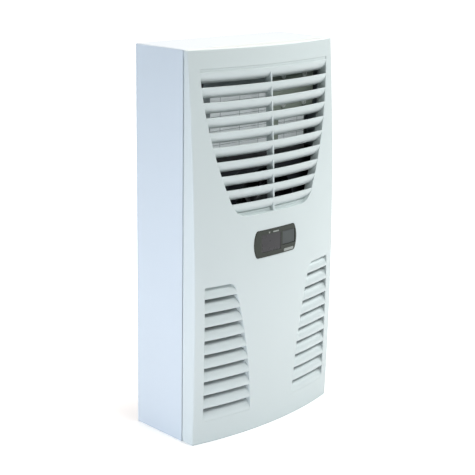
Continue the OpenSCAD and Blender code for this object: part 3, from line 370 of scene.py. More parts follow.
wheel_moulding = new_finish("wheel_moulding", srgb(38, 38, 41), 0.5, tone=0.1, tone_scale=60,
                            grain=0.3)
tray_moulding = new_finish("tray_moulding", srgb(58, 60, 62), 0.55, tone=0.08, tone_scale=50,
                           grain=0.3)
black_rubber = new_finish("black_rubber", srgb(30, 30, 31), 0.75, tone=0.15, tone_scale=80,
                          grain=0.4, grain_scale=1300)
cell_foam = new_finish("cell_foam", srgb(42, 42, 44), 0.9, tone=0.15, tone_scale=120,
                       grain=0.9, grain_scale=900, grain_depth=0.0004)
solder_resist = new_finish("solder_resist", srgb(32, 92, 52), 0.35, tone=0.1, tone_scale=200,
                           grain=0.15)
terminal_moulding = new_finish("terminal_moulding", srgb(46, 122, 66), 0.4, tone=0.06,
                               tone_scale=120, grain=0.2)
light_guide = new_finish("light_guide", srgb(142, 147, 141), 0.3, tone=0.03, tone_scale=60,
                         rough_play=0.04, grain=0.05)
nylon = new_finish("nylon", srgb(224, 224, 216), 0.5, tone=0.03, tone_scale=80, grain=0.15)
print("finishes:", len(bpy.data.materials))

# %% [markdown]
# ## Camera
# The camera stands where the photographer's did: level with the upper part of the unit, in front
# and to the left. Its place and its narrow lens were worked out from the edges of the real unit,
# whose size is known, so the render can be laid over the photograph.

# %% Place the camera
EYE = Vector((-1.1630, -1.1627, 0.7201))
AZIMUTH, ELEVATION, ROLL = (math.radians(a) for a in (44.788, 15.379, 0.985))
FOCAL_PX, PHOTO_PX, SENSOR_W = 1179.3, 475, 36
forward = Vector((math.sin(AZIMUTH) * math.cos(ELEVATION),
                  math.cos(AZIMUTH) * math.cos(ELEVATION), -math.sin(ELEVATION)))
level = Vector((math.cos(AZIMUTH), -math.sin(AZIMUTH), 0))
upright = level.cross(forward)
right = level * math.cos(ROLL) + upright * math.sin(ROLL)
up = upright * math.cos(ROLL) - level * math.sin(ROLL)
lens = bpy.data.cameras.new("camera")
lens.sensor_width = SENSOR_W
lens.lens = SENSOR_W * FOCAL_PX / PHOTO_PX
camera = placed("camera", lens)
camera.matrix_world = Matrix.Translation(EYE) @ Matrix((right, up, -forward)).transposed().to_4x4()
bpy.context.scene.camera = camera
print("lens in mm:", round(lens.lens, 1))

# %% [markdown]
# ## Floor and backdrop
# A packshot studio surrounds its product with white. The floor is one large sheet. For the camera
# and for mirrors it also shines a little, weakly near the unit, where its soft shadow lies, and
# fully further out, so that no horizon shows. For all other light it is plain white card.

# %% Make the floor
scene = bpy.context.scene
scene.view_settings.view_transform = "Standard"
FLOOR_HALF = 8.0


def seen_by(tree, *rays):
    """1 for the two kinds of ray that are named and 0 for every other kind."""
    path = add_node(tree, "LightPath")
    return add_node(tree, "Math", {i: path.outputs[f"Is {ray} Ray"] for i, ray in enumerate(rays)},
                    operation="MAXIMUM").outputs[0]


def studio_floor_finish(shine_near, shine_far, near, far):
    """White card that also shines: by shine_near up to near metres off, shine_far beyond far."""
    finish = bpy.data.materials.new("studio_floor")
    finish.use_nodes = True
    tree = finish.node_tree
    card = tree.nodes["Principled BSDF"]
    card.inputs["Base Color"].default_value = (0.85, 0.85, 0.85, 1)
    card.inputs["Roughness"].default_value = 0.9
    where = add_node(tree, "TexCoord").outputs["Object"]
    distance = add_node(tree, "VectorMath", {0: where}, operation="LENGTH").outputs["Value"]
    fade = add_node(tree, "MapRange", {"Value": distance, "From Min": near, "From Max": far,
                                       "To Min": shine_near, "To Max": shine_far},
                    interpolation_type="SMOOTHSTEP")
    strength = add_node(tree, "Math", {0: seen_by(tree, "Camera", "Glossy"),
                                       1: fade.outputs["Result"]}, operation="MULTIPLY")
    shine = add_node(tree, "Emission", {"Strength": strength.outputs[0]})
    both = add_node(tree, "AddShader", {0: card.outputs[0], 1: shine.outputs[0]})
    tree.links.new(both.outputs[0], tree.nodes["Material Output"].inputs["Surface"])
    return finish


floor_mesh = bpy.data.meshes.new("floor")
floor_mesh.from_pydata([(x * FLOOR_HALF, y * FLOOR_HALF, 0)
                        for x, y in ((-1, -1), (1, -1), (1, 1), (-1, 1))], [], [(0, 1, 2, 3)])
floor_mesh.materials.append(studio_floor_finish(shine_near=0.48, shine_far=1.0, near=0.16, far=0.5))
floor = placed("floor", floor_mesh)
print("floor in metres:", 2 * FLOOR_HALF)

# %% [markdown]
# ## Lamps
# The left side gets a weak lamp from high up and a low strip that brightens its foot. The front
# gets a lamp from high in front, which also reaches in between the slats, a faint strip at its
# foot and a strong lamp from the high right, so the bowed front brightens from left to right. A
# lamp above makes the top as white as the background. All are large, so their shadows are soft,
# and the camera doesn't see them. The world fills in, and behind the unit it is plain white.

# %% Hang the lamps
LAMP_AIM = Vector((0, 0, 0.28))  # about the middle of the unit


def soft_lamp(name, place, width, height, watts, colour):
    """A rectangular lamp that faces the unit. Places and sizes are in metres."""
    data = bpy.data.lights.new(name, "AREA")
    data.shape = "RECTANGLE"
    data.size, data.size_y = width, height
    data.energy, data.color = watts, colour
    lamp = placed(name, data)
    lamp.location = place
    lamp.rotation_euler = (LAMP_AIM - lamp.location).to_track_quat("-Z", "Y").to_euler()
    lamp.visible_camera = False


soft_lamp("lamp_left_high", (-2.0, 0.3, 1.9), 1.2, 1.0, 3.6, (0.8, 1.0, 0.9))
soft_lamp("lamp_left_strip", (-1.3, 0.12, 0.05), 1.0, 0.08, 10.2, (0.81, 0.865, 1.0))
soft_lamp("lamp_front_strip", (0.0, -0.45, 0.02), 0.9, 0.04, 0.34, (0.78, 0.84, 1.0))
soft_lamp("lamp_front_high", (0.2, -1.5, 2.2), 0.8, 0.8, 28.0, (0.967, 0.998, 1.0))
soft_lamp("lamp_right_high", (2.2, -0.9, 1.5), 1.4, 1.0, 33.0, (0.93, 0.99, 1.0))
soft_lamp("lamp_above", (0.0, 0.1, 1.6), 0.5, 0.4, 13.5, (1.0, 0.87, 0.82))
print("lamps:", len(bpy.data.lights))

# %% The world: a weak grey fill light, and plain white where the camera looks past the floor
world = bpy.data.worlds.new("studio")
world.use_nodes = True
scene.world = world
backdrop = add_node(world.node_tree, "Mix", {
    "Factor": seen_by(world.node_tree, "Camera", "Transmission"),
    "A": (0.12, 0.132, 0.138, 1), "B": (1, 1, 1, 1)}, data_type="RGBA")
sky = world.node_tree.nodes["Background"]
world.node_tree.links.new(backdrop.outputs["Result"], sky.inputs["Color"])
sky.inputs["Strength"].default_value = 1.0

# %% [markdown]
# ## The front surface
# The front is bowed from side to side and crowned from bottom to top: a barrel shape, whose
# radius is largest at the height of the crest. A formula for it gives every point and also the
# exact direction that the surface faces, so highlights run over it without a ripple.

# %% The bowed and crowned front as a formula
UNIT_W, UNIT_H = 280.0, 550.0
HALF_W = UNIT_W / 2
FRONT_Y, CASE_FRONT, CASE_BACK = -70.0, -27.0, 68.0
COVER_BACK = -29.0
BOW, CROWN_DROP, CREST_Z = 18.0, 17.0, 165.0
BOW_R = (HALF_W ** 2 + BOW ** 2) / (2 * BOW)
CROWN_R = (UNIT_H - CREST_Z) ** 2 / (2 * CROWN_DROP)
AXIS_Y = FRONT_Y + BOW_R


def skin_r(z):
    """The front's radius at a height."""
    return BOW_R - (z - CREST_Z) ** 2 / (2 * CROWN_R)


def skin_point(x, z, depth=0.0):
    """The point of the front at x and z, or the one that lies depth behind it."""
    r = skin_r(z) - depth
    return (x, AXIS_Y - math.sqrt(r * r - x * x), z)


def skin_normal(x, z):
    """The direction that the front faces at x and z."""
    r = skin_r(z)
    return Vector((x, -math.sqrt(r * r - x * x), r * (z - CREST_Z) / CROWN_R)).normalized()


print("front at the crest:", skin_point(0, CREST_Z), "at the top edge:", skin_point(0, UNIT_H))

# %% [markdown]
# ## Outlines in the front view
# The cover's edge, the grille, the two louvre groups and the display opening are loops in the
# front view. Each point of a loop carries the direction that points out of the material, which
# is where its rounded edge rolls over.

# %% Loops with their outward directions
def line(start, end, direction, step=4.0):
    """The points between the two ends of a straight side."""
    start, end = Vector(start), Vector(end)
    count = max(1, round((end - start).length / step))
    return [(start + (end - start) * k / count, Vector(direction)) for k in range(1, count)]


def arc(centre, radius, a0, a1, step=4.0, inside=False):
    """Points on an arc, in degrees. inside means that the material lies within the circle."""
    count = max(2, round(abs(math.radians(a1 - a0)) * radius / step))
    out = []
    for k in range(count + 1):
        a = math.radians(a0 + (a1 - a0) * k / count)
        d = Vector((math.cos(a), math.sin(a)))
        out.append((Vector(centre) + d * radius, d if inside else -d))
    return out


def rect(x0, x1, z0, z1, radius=0.8, step=3.0):
    """A rectangle with round corners. Its directions point out of it."""
    corners = [Vector(c) for c in ((x0, z0), (x1, z0), (x1, z1), (x0, z1))]
    loop = []
    for i in range(4):
        a, b, c, after = (corners[(i + k) % 4] for k in (-1, 0, 1, 2))
        u, v = (a - b).normalized(), (c - b).normalized()
        half = u.angle(v) / 2
        reach = radius / math.tan(half)
        middle = b + (u + v).normalized() * (radius / math.sin(half))
        out = Vector((u.y, -u.x))
        out = -out if out.dot(b + u * reach - middle) < 0 else out
        for k in range(7):
            d = Matrix.Rotation((math.pi - 2 * half) * k / 6, 2) @ out
            loop.append((middle + d * radius, d))
        end = c + (b - c).normalized() * (radius / math.tan((after - c).angle(b - c) / 2))
        loop += line(b + v * reach, end, (v.y, -v.x), step)
    return loop


def mirrored(loop):
    """The same loop on the other side of the unit's middle."""
    return [(Vector((-p.x, p.y)), Vector((-d.x, d.y))) for p, d in reversed(loop)]


# %% The upper grille's loop
GRILLE_TOP, GRILLE_LIP, GRILLE_BOTTOM, GRILLE_HALF = 524.0, 520.0, 321.5, 123.5
SIDE_R, CORNER_R = 520.0, 28.0
side_cx = GRILLE_HALF - math.sqrt(SIDE_R ** 2 - (UNIT_H - GRILLE_TOP) ** 2)
corner_cz = GRILLE_BOTTOM + CORNER_R
corner_cx = side_cx + math.sqrt((SIDE_R - CORNER_R) ** 2 - (UNIT_H - corner_cz) ** 2)
a_top = math.degrees(math.asin((GRILLE_TOP - UNIT_H) / SIDE_R))
a_low = math.degrees(math.atan2(corner_cz - UNIT_H, corner_cx - side_cx))


def grille_half(z):
    """Half of the grille's width at a height."""
    if z >= UNIT_H + SIDE_R * math.sin(math.radians(a_low)):
        return side_cx + math.sqrt(SIDE_R ** 2 - (z - UNIT_H) ** 2)
    return corner_cx + math.sqrt(max(0, CORNER_R ** 2 - (corner_cz - z) ** 2))


right_side = arc((side_cx, UNIT_H), SIDE_R, a_top, a_low) + \
    arc((corner_cx, corner_cz), CORNER_R, a_low, -90, step=2)[1:]
grille_loop = right_side + line((corner_cx, GRILLE_BOTTOM), (-corner_cx, GRILLE_BOTTOM), (0, 1)) \
    + mirrored(right_side) + line((-GRILLE_HALF, GRILLE_TOP), (GRILLE_HALF, GRILLE_TOP), (0, -1))
print("grille loop:", len(grille_loop), "points; half width at 340:", round(grille_half(340), 1))

# %% The louvre groups' loops
LOUVRE_Z, LOUVRE_COUNT, PITCH, DROP = 34.0, 9, 20.0, 16.0
LOUVRE_TOP = LOUVRE_Z + LOUVRE_COUNT * PITCH + DROP
LOUVRE_IN, LOUVRE_OUT, LOUVRE_R, LOUVRE_CORNER, OUT_CORNER = 43.0, 124.0, 800.0, 12.0, 1.5
louvre_cx = LOUVRE_IN + LOUVRE_R
corner_z = LOUVRE_TOP - LOUVRE_CORNER
corner_x = louvre_cx - math.sqrt((LOUVRE_R - LOUVRE_CORNER) ** 2 - corner_z ** 2)
b_low = 180 - math.degrees(math.asin(LOUVRE_Z / LOUVRE_R))
b_top = 180 - math.degrees(math.atan2(corner_z, louvre_cx - corner_x))


def louvre_inner(z):
    """The curved inner side of the right louvre group at a height."""
    if z <= LOUVRE_R * math.sin(math.radians(180 - b_top)):
        return louvre_cx - math.sqrt(LOUVRE_R ** 2 - z ** 2)
    return corner_x - math.sqrt(max(0, LOUVRE_CORNER ** 2 - (z - corner_z) ** 2))


out_x = LOUVRE_OUT - OUT_CORNER
out_low, out_top = LOUVRE_Z + OUT_CORNER, LOUVRE_TOP - OUT_CORNER
louvre_loop = (
    arc((louvre_cx, 0), LOUVRE_R, b_low, b_top)
    + arc((corner_x, corner_z), LOUVRE_CORNER, b_top, 90, step=2)[1:]
    + line((corner_x, LOUVRE_TOP), (out_x, LOUVRE_TOP), (0, -1))
    + arc((out_x, out_top), OUT_CORNER, 90, 0, step=0.6)
    + line((LOUVRE_OUT, out_top), (LOUVRE_OUT, out_low), (-1, 0))
    + arc((out_x, out_low), OUT_CORNER, 0, -90, step=0.6)
    + line((out_x, LOUVRE_Z), (louvre_inner(LOUVRE_Z), LOUVRE_Z), (0, 1)))
left_louvre_loop = mirrored(louvre_loop)
print("louvre loop:", len(louvre_loop), "points; inner side at the top:", round(corner_x, 1))

# %% The display opening's loop
DISPLAY_W, DISPLAY_H, DISPLAY_TOP, DISPLAY_BULGE, DISPLAY_CORNER = 85.0, 38.5, 296.5, 5.0, 4.0
DISPLAY_Z, DISPLAY_GAP = DISPLAY_TOP - DISPLAY_H / 2, 0.3


def display_loop(grow, inside):
    """The display panel's outline. inside means that the material lies within it."""
    h, c = DISPLAY_H / 2, DISPLAY_CORNER
    side_r = (h * h + DISPLAY_BULGE ** 2) / (2 * DISPLAY_BULGE)
    xc = DISPLAY_W / 2 - side_r
    cz = h - c
    cx = xc + math.sqrt((side_r - c) ** 2 - cz ** 2)
    a = math.degrees(math.atan2(cz, cx - xc))
    corner = arc((cx, cz), c + grow, a, 90, 0.8, inside)
    up = arc((xc, 0), side_r + grow, 0, a, 2, inside) + corner[1:]
    down = [(Vector((p.x, -p.y)), Vector((d.x, -d.y))) for p, d in reversed(up)][:-1]
    side = down + up
    other = [(-p, -d) for p, d in side]
    n = 1 if inside else -1
    half = side[-1][0].x
    loop = side + line((half, h + grow), (-half, h + grow), (0, n)) + other \
        + line((-half, -h - grow), (half, -h - grow), (0, -n))
    return [(p + Vector((0, DISPLAY_Z)), d) for p, d in loop]


opening_loop = display_loop(DISPLAY_GAP, False)
print("display loop:", len(opening_loop), "points")

# %% [markdown]
# ## Skins and rounded edges
# The skin between the loops could be a grid that is cut with booleans, but cuts leave ragged
# edges. Here the loops and a grid of free points are joined into triangles in the flat front view
# first, and only then lifted onto the formula. The rounded edges are strips that start exactly on
# the skin's border, so nothing has to be cut.

# %% Fill the area between loops with triangles
def shrunk(loop, by):
    """The loop's points moved into the material."""
    amounts = by if isinstance(by, list) else [by] * len(loop)
    return [p - d * a for (p, d), a in zip(loop, amounts)]


def inside_of(polygon, points):
    """For each point, whether it lies within a polygon."""
    poly = np.array([[p.x, p.y] for p in polygon])
    x, y = points[:, 0][:, None], points[:, 1][:, None]
    x0, y0 = poly[:, 0], poly[:, 1]
    x1, y1 = np.roll(x0, -1), np.roll(y0, -1)
    crosses = ((y0 <= y) != (y1 <= y)) & (x < (x1 - x0) * (y - y0) / (y1 - y0 + 1e-12) + x0)
    return crosses.sum(1) % 2 == 1


def filled(outer, holes, spacing):
    """Triangles inside the outer loop and outside the holes, as (points, faces) in the plane."""
    points, edges = [], []
    for loop in [outer] + holes:
        base = len(points)
        points += [Vector(p) for p in loop]
        edges += [(base + i, base + (i + 1) % len(loop)) for i in range(len(loop))]

    def in_material(spots):
        """For each spot, whether it lies in the outer loop and in none of the holes."""
        inside = inside_of(outer, spots)
        for hole in holes:
            inside &= ~inside_of(hole, spots)
        return inside

    border = np.array([[p.x, p.y] for p in points])
    low, high = border.min(0), border.max(0)
    xs = np.arange(low[0] + spacing / 2, high[0], spacing)
    ys = np.arange(low[1] + spacing / 2, high[1], spacing)
    grid = np.array([(x, y) for x in xs for y in ys]).reshape(-1, 2)
    near = np.min(np.hypot(grid[:, None, 0] - border[None, :, 0],
                           grid[:, None, 1] - border[None, :, 1]), axis=1)
    points += [Vector(p) for p in grid[in_material(grid) & (near > spacing * 0.6)]]
    verts, _, faces, *_ = geometry.delaunay_2d_cdt(points, edges, [], 0, 1e-5)
    centres = np.array([[sum(verts[i].x for i in f) / 3, sum(verts[i].y for i in f) / 3]
                        for f in faces])
    return verts, [f for f, good in zip(faces, in_material(centres)) if good]


# %% A surface that remembers which way it faces
class Surface:
    """Points, faces and the exact direction of the surface at each point."""

    def __init__(self):
        self.points, self.normals, self.faces = [], [], []

    def add(self, points, normals, faces):
        """Adds points, the direction at each of them and faces that count from the first."""
        base = len(self.points)
        self.points += [tuple(p) for p in points]
        self.normals += [tuple(n) for n in normals]
        self.faces += [tuple(base + i for i in f) for f in faces]

    def skin(self, outer, holes, spacing, depth, facing=1):
        """A sheet at a depth behind the front. It faces as the front does, or with -1 the other
        way, or else in the direction that is given."""
        verts, faces = filled(outer, holes, spacing)
        pts = [skin_point(v.x, v.y, depth) for v in verts]
        nrm = [facing if isinstance(facing, Vector) else skin_normal(v.x, v.y) * facing
               for v in verts]
        self.add(pts, nrm, [self.turned_to(pts, f, nrm[f[0]]) for f in faces])

    def strip(self, rows, normals, closed=True):
        """Faces over rows of points. A closed strip joins each row's end to its start."""
        m = len(rows[0])
        pts = [p for row in rows for p in row]
        nrm = [n for row in normals for n in row]
        faces = []
        for i in range(len(rows) - 1):
            for j in range(m if closed else m - 1):
                a, b = i * m + j, i * m + (j + 1) % m
                faces.append(self.turned_to(pts, (a, b, b + m, a + m), nrm[a]))
        self.add(pts, nrm, faces)

    @staticmethod
    def turned_to(pts, face, normal):
        """The face with its points in the order that makes it face the right way."""
        a, b, c = (Vector(pts[i]) for i in (face[0], face[1], face[2]))
        way = (b - a).cross(c - a)
        if way.length < 1e-9 and len(face) == 4:
            way = (Vector(pts[face[2]]) - a).cross(Vector(pts[face[3]]) - a)
        return tuple(face) if way.dot(Vector(normal)) >= 0 else tuple(reversed(face))

    def made(self, name, finish, body, stands_for=()):
        """The finished piece."""
        mesh = mesh_from(name, self.points, self.faces)
        mesh.materials.append(finish)
        mesh.polygons.foreach_set("use_smooth", [True] * len(mesh.polygons))
        mesh.normals_split_custom_set_from_vertices([Vector(n).normalized() for n in self.normals])
        return registered(placed(name, mesh), body, stands_for)


def at_depth(depth):
    """Lifts a point of the front view to a depth behind the front."""
    return lambda p: skin_point(p.x, p.y, depth)


def at_plane(y):
    """Lifts a point of the front view to a flat plane."""
    return lambda p: (p.x, y, p.y)


def sideways(loop):
    """The loop's directions as directions in space."""
    return [Vector((d.x, 0, d.y)) for p, d in loop]


def rolled_edge(surface, loop, radius, wall_to, steps=4, lift=0.0):
    """A rounded edge along a loop and the wall behind it. wall_to lifts the wall's end, and lift
    is how far the edge stands in front of the cover's face."""
    radii = radius if isinstance(radius, list) else [radius] * len(loop)
    rows, normals = [], []
    for t in quarter_turn(steps):
        row, nrm = [], []
        for (p, d), r in zip(loop, radii):
            q = p - d * r * (1 - math.sin(t))
            row.append(skin_point(q.x, q.y, r * (1 - math.cos(t)) - lift))
            nrm.append(skin_normal(q.x, q.y) * math.cos(t) + Vector((d.x, 0, d.y)) * math.sin(t))
        rows.append(row)
        normals.append(nrm)
    surface.strip(rows + [[wall_to(p) for p, d in loop]], normals + [sideways(loop)])


# %% [markdown]
# ## The front cover
# The real cover is one injection moulding about 2.5 mm thick. Its openings have collars that
# reach back, its edges are slightly rounded so that it leaves the mould, and its face has a fine
# grain. It is built as an outer skin with rolled edges, an inner skin, and rims between them.

# %% The cover's outer skin and its rolled edges
COVER_T, COLLAR_T, COLLAR_D = 2.5, 2.0, 13.5
EDGE_R, OPENING_R, DISPLAY_R, OUTER_CORNER = 2.2, 0.9, 0.5, 3.0
SLAT_D, SLAT_T = 11.0, 2.2
SLAT_R = (DROP ** 2 + SLAT_D ** 2) / (2 * SLAT_D)
BACKWARDS, FORWARDS = Vector((0, 1, 0)), Vector((0, -1, 0))


def louvre_roll(loop):
    """Radius of the louvre's edge at each point. At the foot, where the first slat starts, it
    fades to almost nothing."""
    out = []
    for p, d in loop:
        rise = min(DROP, max(0.0, p.y - LOUVRE_Z))
        out.append(max(0.05, min(OPENING_R, SLAT_R - math.sqrt(SLAT_R ** 2 - rise ** 2))))
    return out


edge_loop = rect(-HALF_W, HALF_W, 0, UNIT_H, OUTER_CORNER, 4.0)
air_ways = [(grille_loop, OPENING_R), (louvre_loop, louvre_roll(louvre_loop)),
            (left_louvre_loop, louvre_roll(left_louvre_loop))]
holes = [shrunk(loop, r) for loop, r in air_ways + [(opening_loop, DISPLAY_R)]]

cover = Surface()
cover.skin(shrunk(edge_loop, EDGE_R), holes, 7.0, 0.0)
rolled_edge(cover, edge_loop, EDGE_R, at_plane(COVER_BACK), steps=6)
for loop, r in air_ways:
    rolled_edge(cover, loop, r, at_depth(COLLAR_D))
rolled_edge(cover, opening_loop, DISPLAY_R, at_depth(COVER_T))

# %% The cover's inner skin, rims and collars
def inner_side(loop, thick, rim_at):
    """The rim at the back of a wall and the wall's inner side, which ends at the inner skin."""
    inset = shrunk(loop, thick)
    inner_rim = [rim_at(p) for p in inset]
    away = [-side for side in sideways(loop)]
    cover.strip([[rim_at(p) for p, d in loop], inner_rim], [[BACKWARDS] * len(loop)] * 2)
    cover.strip([inner_rim, [skin_point(p.x, p.y, COVER_T) for p in inset]], [away, away])


collars = [shrunk(loop, COLLAR_T) for loop, r in air_ways]
cover.skin(shrunk(edge_loop, COVER_T), collars + [[p for p, d in opening_loop]], 12.0, COVER_T,
           facing=-1)
for loop, r in air_ways:
    inner_side(loop, COLLAR_T, at_depth(COLLAR_D))
inner_side(edge_loop, COVER_T, at_plane(COVER_BACK))
cover.made("cover_shell", cover_moulding, "cover", ["front_cover"])

# %% [markdown]
# ## Slats and louvres
# Each slat starts flush with the front, then rolls back out of sight over a quarter turn. The
# upper ones roll downwards and throw the warm air up and away, and the lower ones roll upwards.
# A slat is one section that is carried round the bow. Its ends stand in the collar, so the
# section's height decides how long each line of it is.

# %% The section of a slat
SLAT_LIP, INTO_COLLAR = 0.5, 0.3


def slat_profile():
    """(depth, fall, facing out, facing up) round the section, for a slat that rolls downwards."""
    turn = math.acos(1 - SLAT_D / SLAT_R)
    rows = [(SLAT_LIP * (1 - math.cos(t)), SLAT_LIP * (1 - math.sin(t)), math.cos(t), math.sin(t))
            for t in quarter_turn(4)[::-1]]
    start = math.asin(SLAT_LIP / SLAT_R)
    for k in range(15):
        a = start + (turn - start) * k / 14
        rows.append((SLAT_R * (1 - math.cos(a)), SLAT_R * math.sin(a), math.cos(a), -math.sin(a)))
    r_in = SLAT_R - SLAT_T
    end = math.acos((SLAT_R - SLAT_D) / r_in)
    rows.append((SLAT_D, SLAT_R * math.sin(turn), -1, 0))
    rows.append((SLAT_D, r_in * math.sin(end), -1, 0))
    for k in range(9):
        a = end * (1 - k / 8)
        rows.append((SLAT_R - r_in * math.cos(a), r_in * math.sin(a), -math.cos(a), math.sin(a)))
    return rows + [(SLAT_T, 0, 0, 1), (SLAT_LIP, 0, 0, 1)]


def add_slat(surface, lip_z, way, ends, columns=30):
    """One slat. way is -1 to roll downwards and 1 to roll upwards. ends(z) gives its two ends."""
    rows, normals = [], []
    r_lip = skin_r(lip_z)
    slope = (lip_z - CREST_Z) / CROWN_R
    for depth, fall, out, upward in slat_profile():
        z = lip_z + way * fall
        x0, x1 = ends(z)
        r = r_lip - depth
        row, nrm = [], []
        for k in range(columns + 1):
            x = x0 + (x1 - x0) * k / columns
            y = math.sqrt(r * r - x * x)
            row.append((x, AXIS_Y - y, z))
            nrm.append(Vector((x / r * out, -y / r * out, -way * upward + slope * max(out, 0))))
        rows.append(row)
        normals.append(nrm)
    rows.append(rows[0])
    normals.append([Vector((0, 0, -way))] * (columns + 1))
    surface.strip(rows, normals, closed=False)
    for side, outward in ((0, -1), (-1, 1)):
        cap = [row[side] for row in rows[:-1]]
        surface.add(cap, [Vector((outward, 0, 0))] * len(cap),
                    [Surface.turned_to(cap, tuple(range(len(cap))), (outward, 0, 0))])


# %% The upper slats
SLAT_COUNT = 10


def grille_ends(z):
    """Where a bar in the upper grille ends on the left and on the right."""
    return -grille_half(z) - INTO_COLLAR, grille_half(z) + INTO_COLLAR


upper = Surface()
for i in range(SLAT_COUNT):
    add_slat(upper, GRILLE_LIP - i * PITCH, -1, grille_ends, columns=60)
upper.made("upper_slats", cover_moulding, "cover")

# %% The lower louvres
lower = Surface()
for i in range(LOUVRE_COUNT + 1):
    lip = LOUVRE_Z + i * PITCH
    add_slat(lower, lip, 1, lambda z: (louvre_inner(z) - INTO_COLLAR, LOUVRE_OUT + INTO_COLLAR))
    add_slat(lower, lip, 1, lambda z: (-LOUVRE_OUT - INTO_COLLAR, INTO_COLLAR - louvre_inner(z)))
lower.made("lower_louvres", cover_moulding, "cover")

# %% [markdown]
# ## Sill, rib and pegs
# A shallow sill fills the space above the first slat. One thin rib ties the long slats together
# near the middle, set back a little so that it hardly shows. Four pegs on the back of the cover
# slide into the clips of the housing.

# %% The sill and the rib
def ribbon(ends, z0, z1, front, depth, columns, rows_n):
    """A bar that follows the front surface between two depths. ends(z) gives its two ends."""
    def sheet(d):
        """Rows of points at one depth."""
        rows = []
        for j in range(rows_n + 1):
            z = z0 + (z1 - z0) * j / rows_n
            x0, x1 = ends(z)
            rows.append([skin_point(x0 + (x1 - x0) * k / columns, z, d)
                         for k in range(columns + 1)])
        return rows

    front_rows, back_rows = sheet(front), sheet(depth)
    m = columns + 1
    pts = [p for row in front_rows + back_rows for p in row]
    faces = []
    back_at = m * (rows_n + 1)
    for j in range(rows_n):
        for k in range(columns):
            a = j * m + k
            faces.append((a, a + 1, a + 1 + m, a + m))
            b = back_at + a
            faces.append((b, b + m, b + 1 + m, b + 1))
    for k in range(columns):
        faces.append((k, back_at + k, back_at + k + 1, k + 1))
        a = rows_n * m + k
        faces.append((a, a + 1, back_at + a + 1, back_at + a))
    for j in range(rows_n):
        a = j * m
        faces.append((a, a + m, back_at + a + m, back_at + a))
        a = j * m + columns
        faces.append((a, back_at + a, back_at + a + m, a + m))
    return pts, faces


SILL_HALF = GRILLE_HALF + INTO_COLLAR
RIB_X, RIB_HALF, BAR_BACK = -3.6, 1.2, COLLAR_D - 0.2
piece("grille_sill", ribbon(lambda z: (-SILL_HALF, SILL_HALF), GRILLE_LIP - 1, GRILLE_TOP + 0.3,
                            1.0, BAR_BACK, 60, 1), cover_moulding, "cover")
# Below the last slat the opening is closed by a narrow land, set back like the slat's own end
piece("grille_land", ribbon(grille_ends, GRILLE_BOTTOM - 0.2, GRILLE_BOTTOM + 4.0, 7.0, 11.5,
                            60, 6), cover_moulding, "cover")
piece("centre_rib", ribbon(lambda z: (RIB_X - RIB_HALF, RIB_X + RIB_HALF), GRILLE_BOTTOM - 0.3,
                           GRILLE_LIP + 1, 1.2, BAR_BACK, 1, 40),
      cover_moulding, "cover", bevel=0.4)

# %% The pegs
PEGS = [(x, z) for x in (-130, 130) for z in (16, 534)]
peg_shapes = []
for x, z in PEGS:
    start = skin_point(x, z, COVER_T / 2)[1]
    peg_shapes.append(turned([(4, start), (4, -17.5), (3.6, -16), (2.6, -15)], "y", (x, 0, z)))
piece("cover_pegs", joined(*peg_shapes), cover_moulding, "cover")

# %% [markdown]
# ## The housing
# The housing is one strip of sheet steel, folded round four corners, with a flange turned in
# along its front edge, and powder coated. The fold leaves a small outside radius, which shows as
# a soft line of light down the corner.

# %% The folded housing
WALL_T, RETURN_W, FOLD_R, INNER_R = 1.5, 18.0, 2.0, 0.6
FOLD_IN = FOLD_R * 0.8
IN_X = HALF_W - WALL_T


def sheet_loop(inset, radius):
    """The points of a rectangle with round corners, inset from the housing's outside."""
    x = HALF_W - inset
    return [p for p, d in rect(-x, x, inset, UNIT_H - inset, radius, UNIT_H * 2)]


def carried(loops_and_y):
    """Joins loops of equal length, each at its own place along Y, and closes both ends."""
    return skin_over([[(p.x, y, p.y) for p in loop] for loop, y in loops_and_y], caps=True)


front_fold = [(sheet_loop(FOLD_IN * (1 - math.cos(t)), FOLD_R),
               CASE_FRONT + FOLD_IN * (1 - math.sin(t))) for t in quarter_turn(5)]
outside = carried([(sheet_loop(0, FOLD_R), CASE_BACK)] + front_fold)
inside = carried([(sheet_loop(WALL_T, INNER_R), CASE_BACK + 1),
                  (sheet_loop(WALL_T, INNER_R), CASE_FRONT + WALL_T)])
front_window = carried([(sheet_loop(RETURN_W, INNER_R), CASE_FRONT - 1),
                        (sheet_loop(RETURN_W, INNER_R), CASE_FRONT + 5)])

# %% The holes for the cover's clips, the drain and the compressor's bolts
DRAIN_X, DRAIN_Y, COMP_Y, FOOT_X, FOOT_Y = 106.0, 28.5, 13.5, 62.0, 28.0
FEET = [(x, COMP_Y + y) for x in (-FOOT_X, FOOT_X) for y in (-FOOT_Y, FOOT_Y)]
round_holes = [rod(6.0, CASE_FRONT - 1, CASE_FRONT + 3, "y", (x, 0, z), 40) for x, z in PEGS]
round_holes += [rod(3.0, -1, 3, "z", (x, y, 0)) for x, y in FEET]
round_holes.append(rod(18.0, -1, 3, "z", (DRAIN_X, DRAIN_Y, 0), 64))
piece("housing_sheet", outside, housing_powder, "chassis", ["housing_shell"], bevel=0.25,
      cuts=[inside, front_window, joined(*round_holes)])

# %% [markdown]
# ## Display panel
# The display is a dark moulding that stands a little proud of the cover, with a smoked window on
# the left and a soft key pad on the right. Both have rounded edges, because a hard edge would
# look machined and not moulded.

# %% The bezel's face
def into(loop):
    """The same loop as the edge of a hole: its directions point into the hole."""
    return [(p, -d) for p, d in loop]


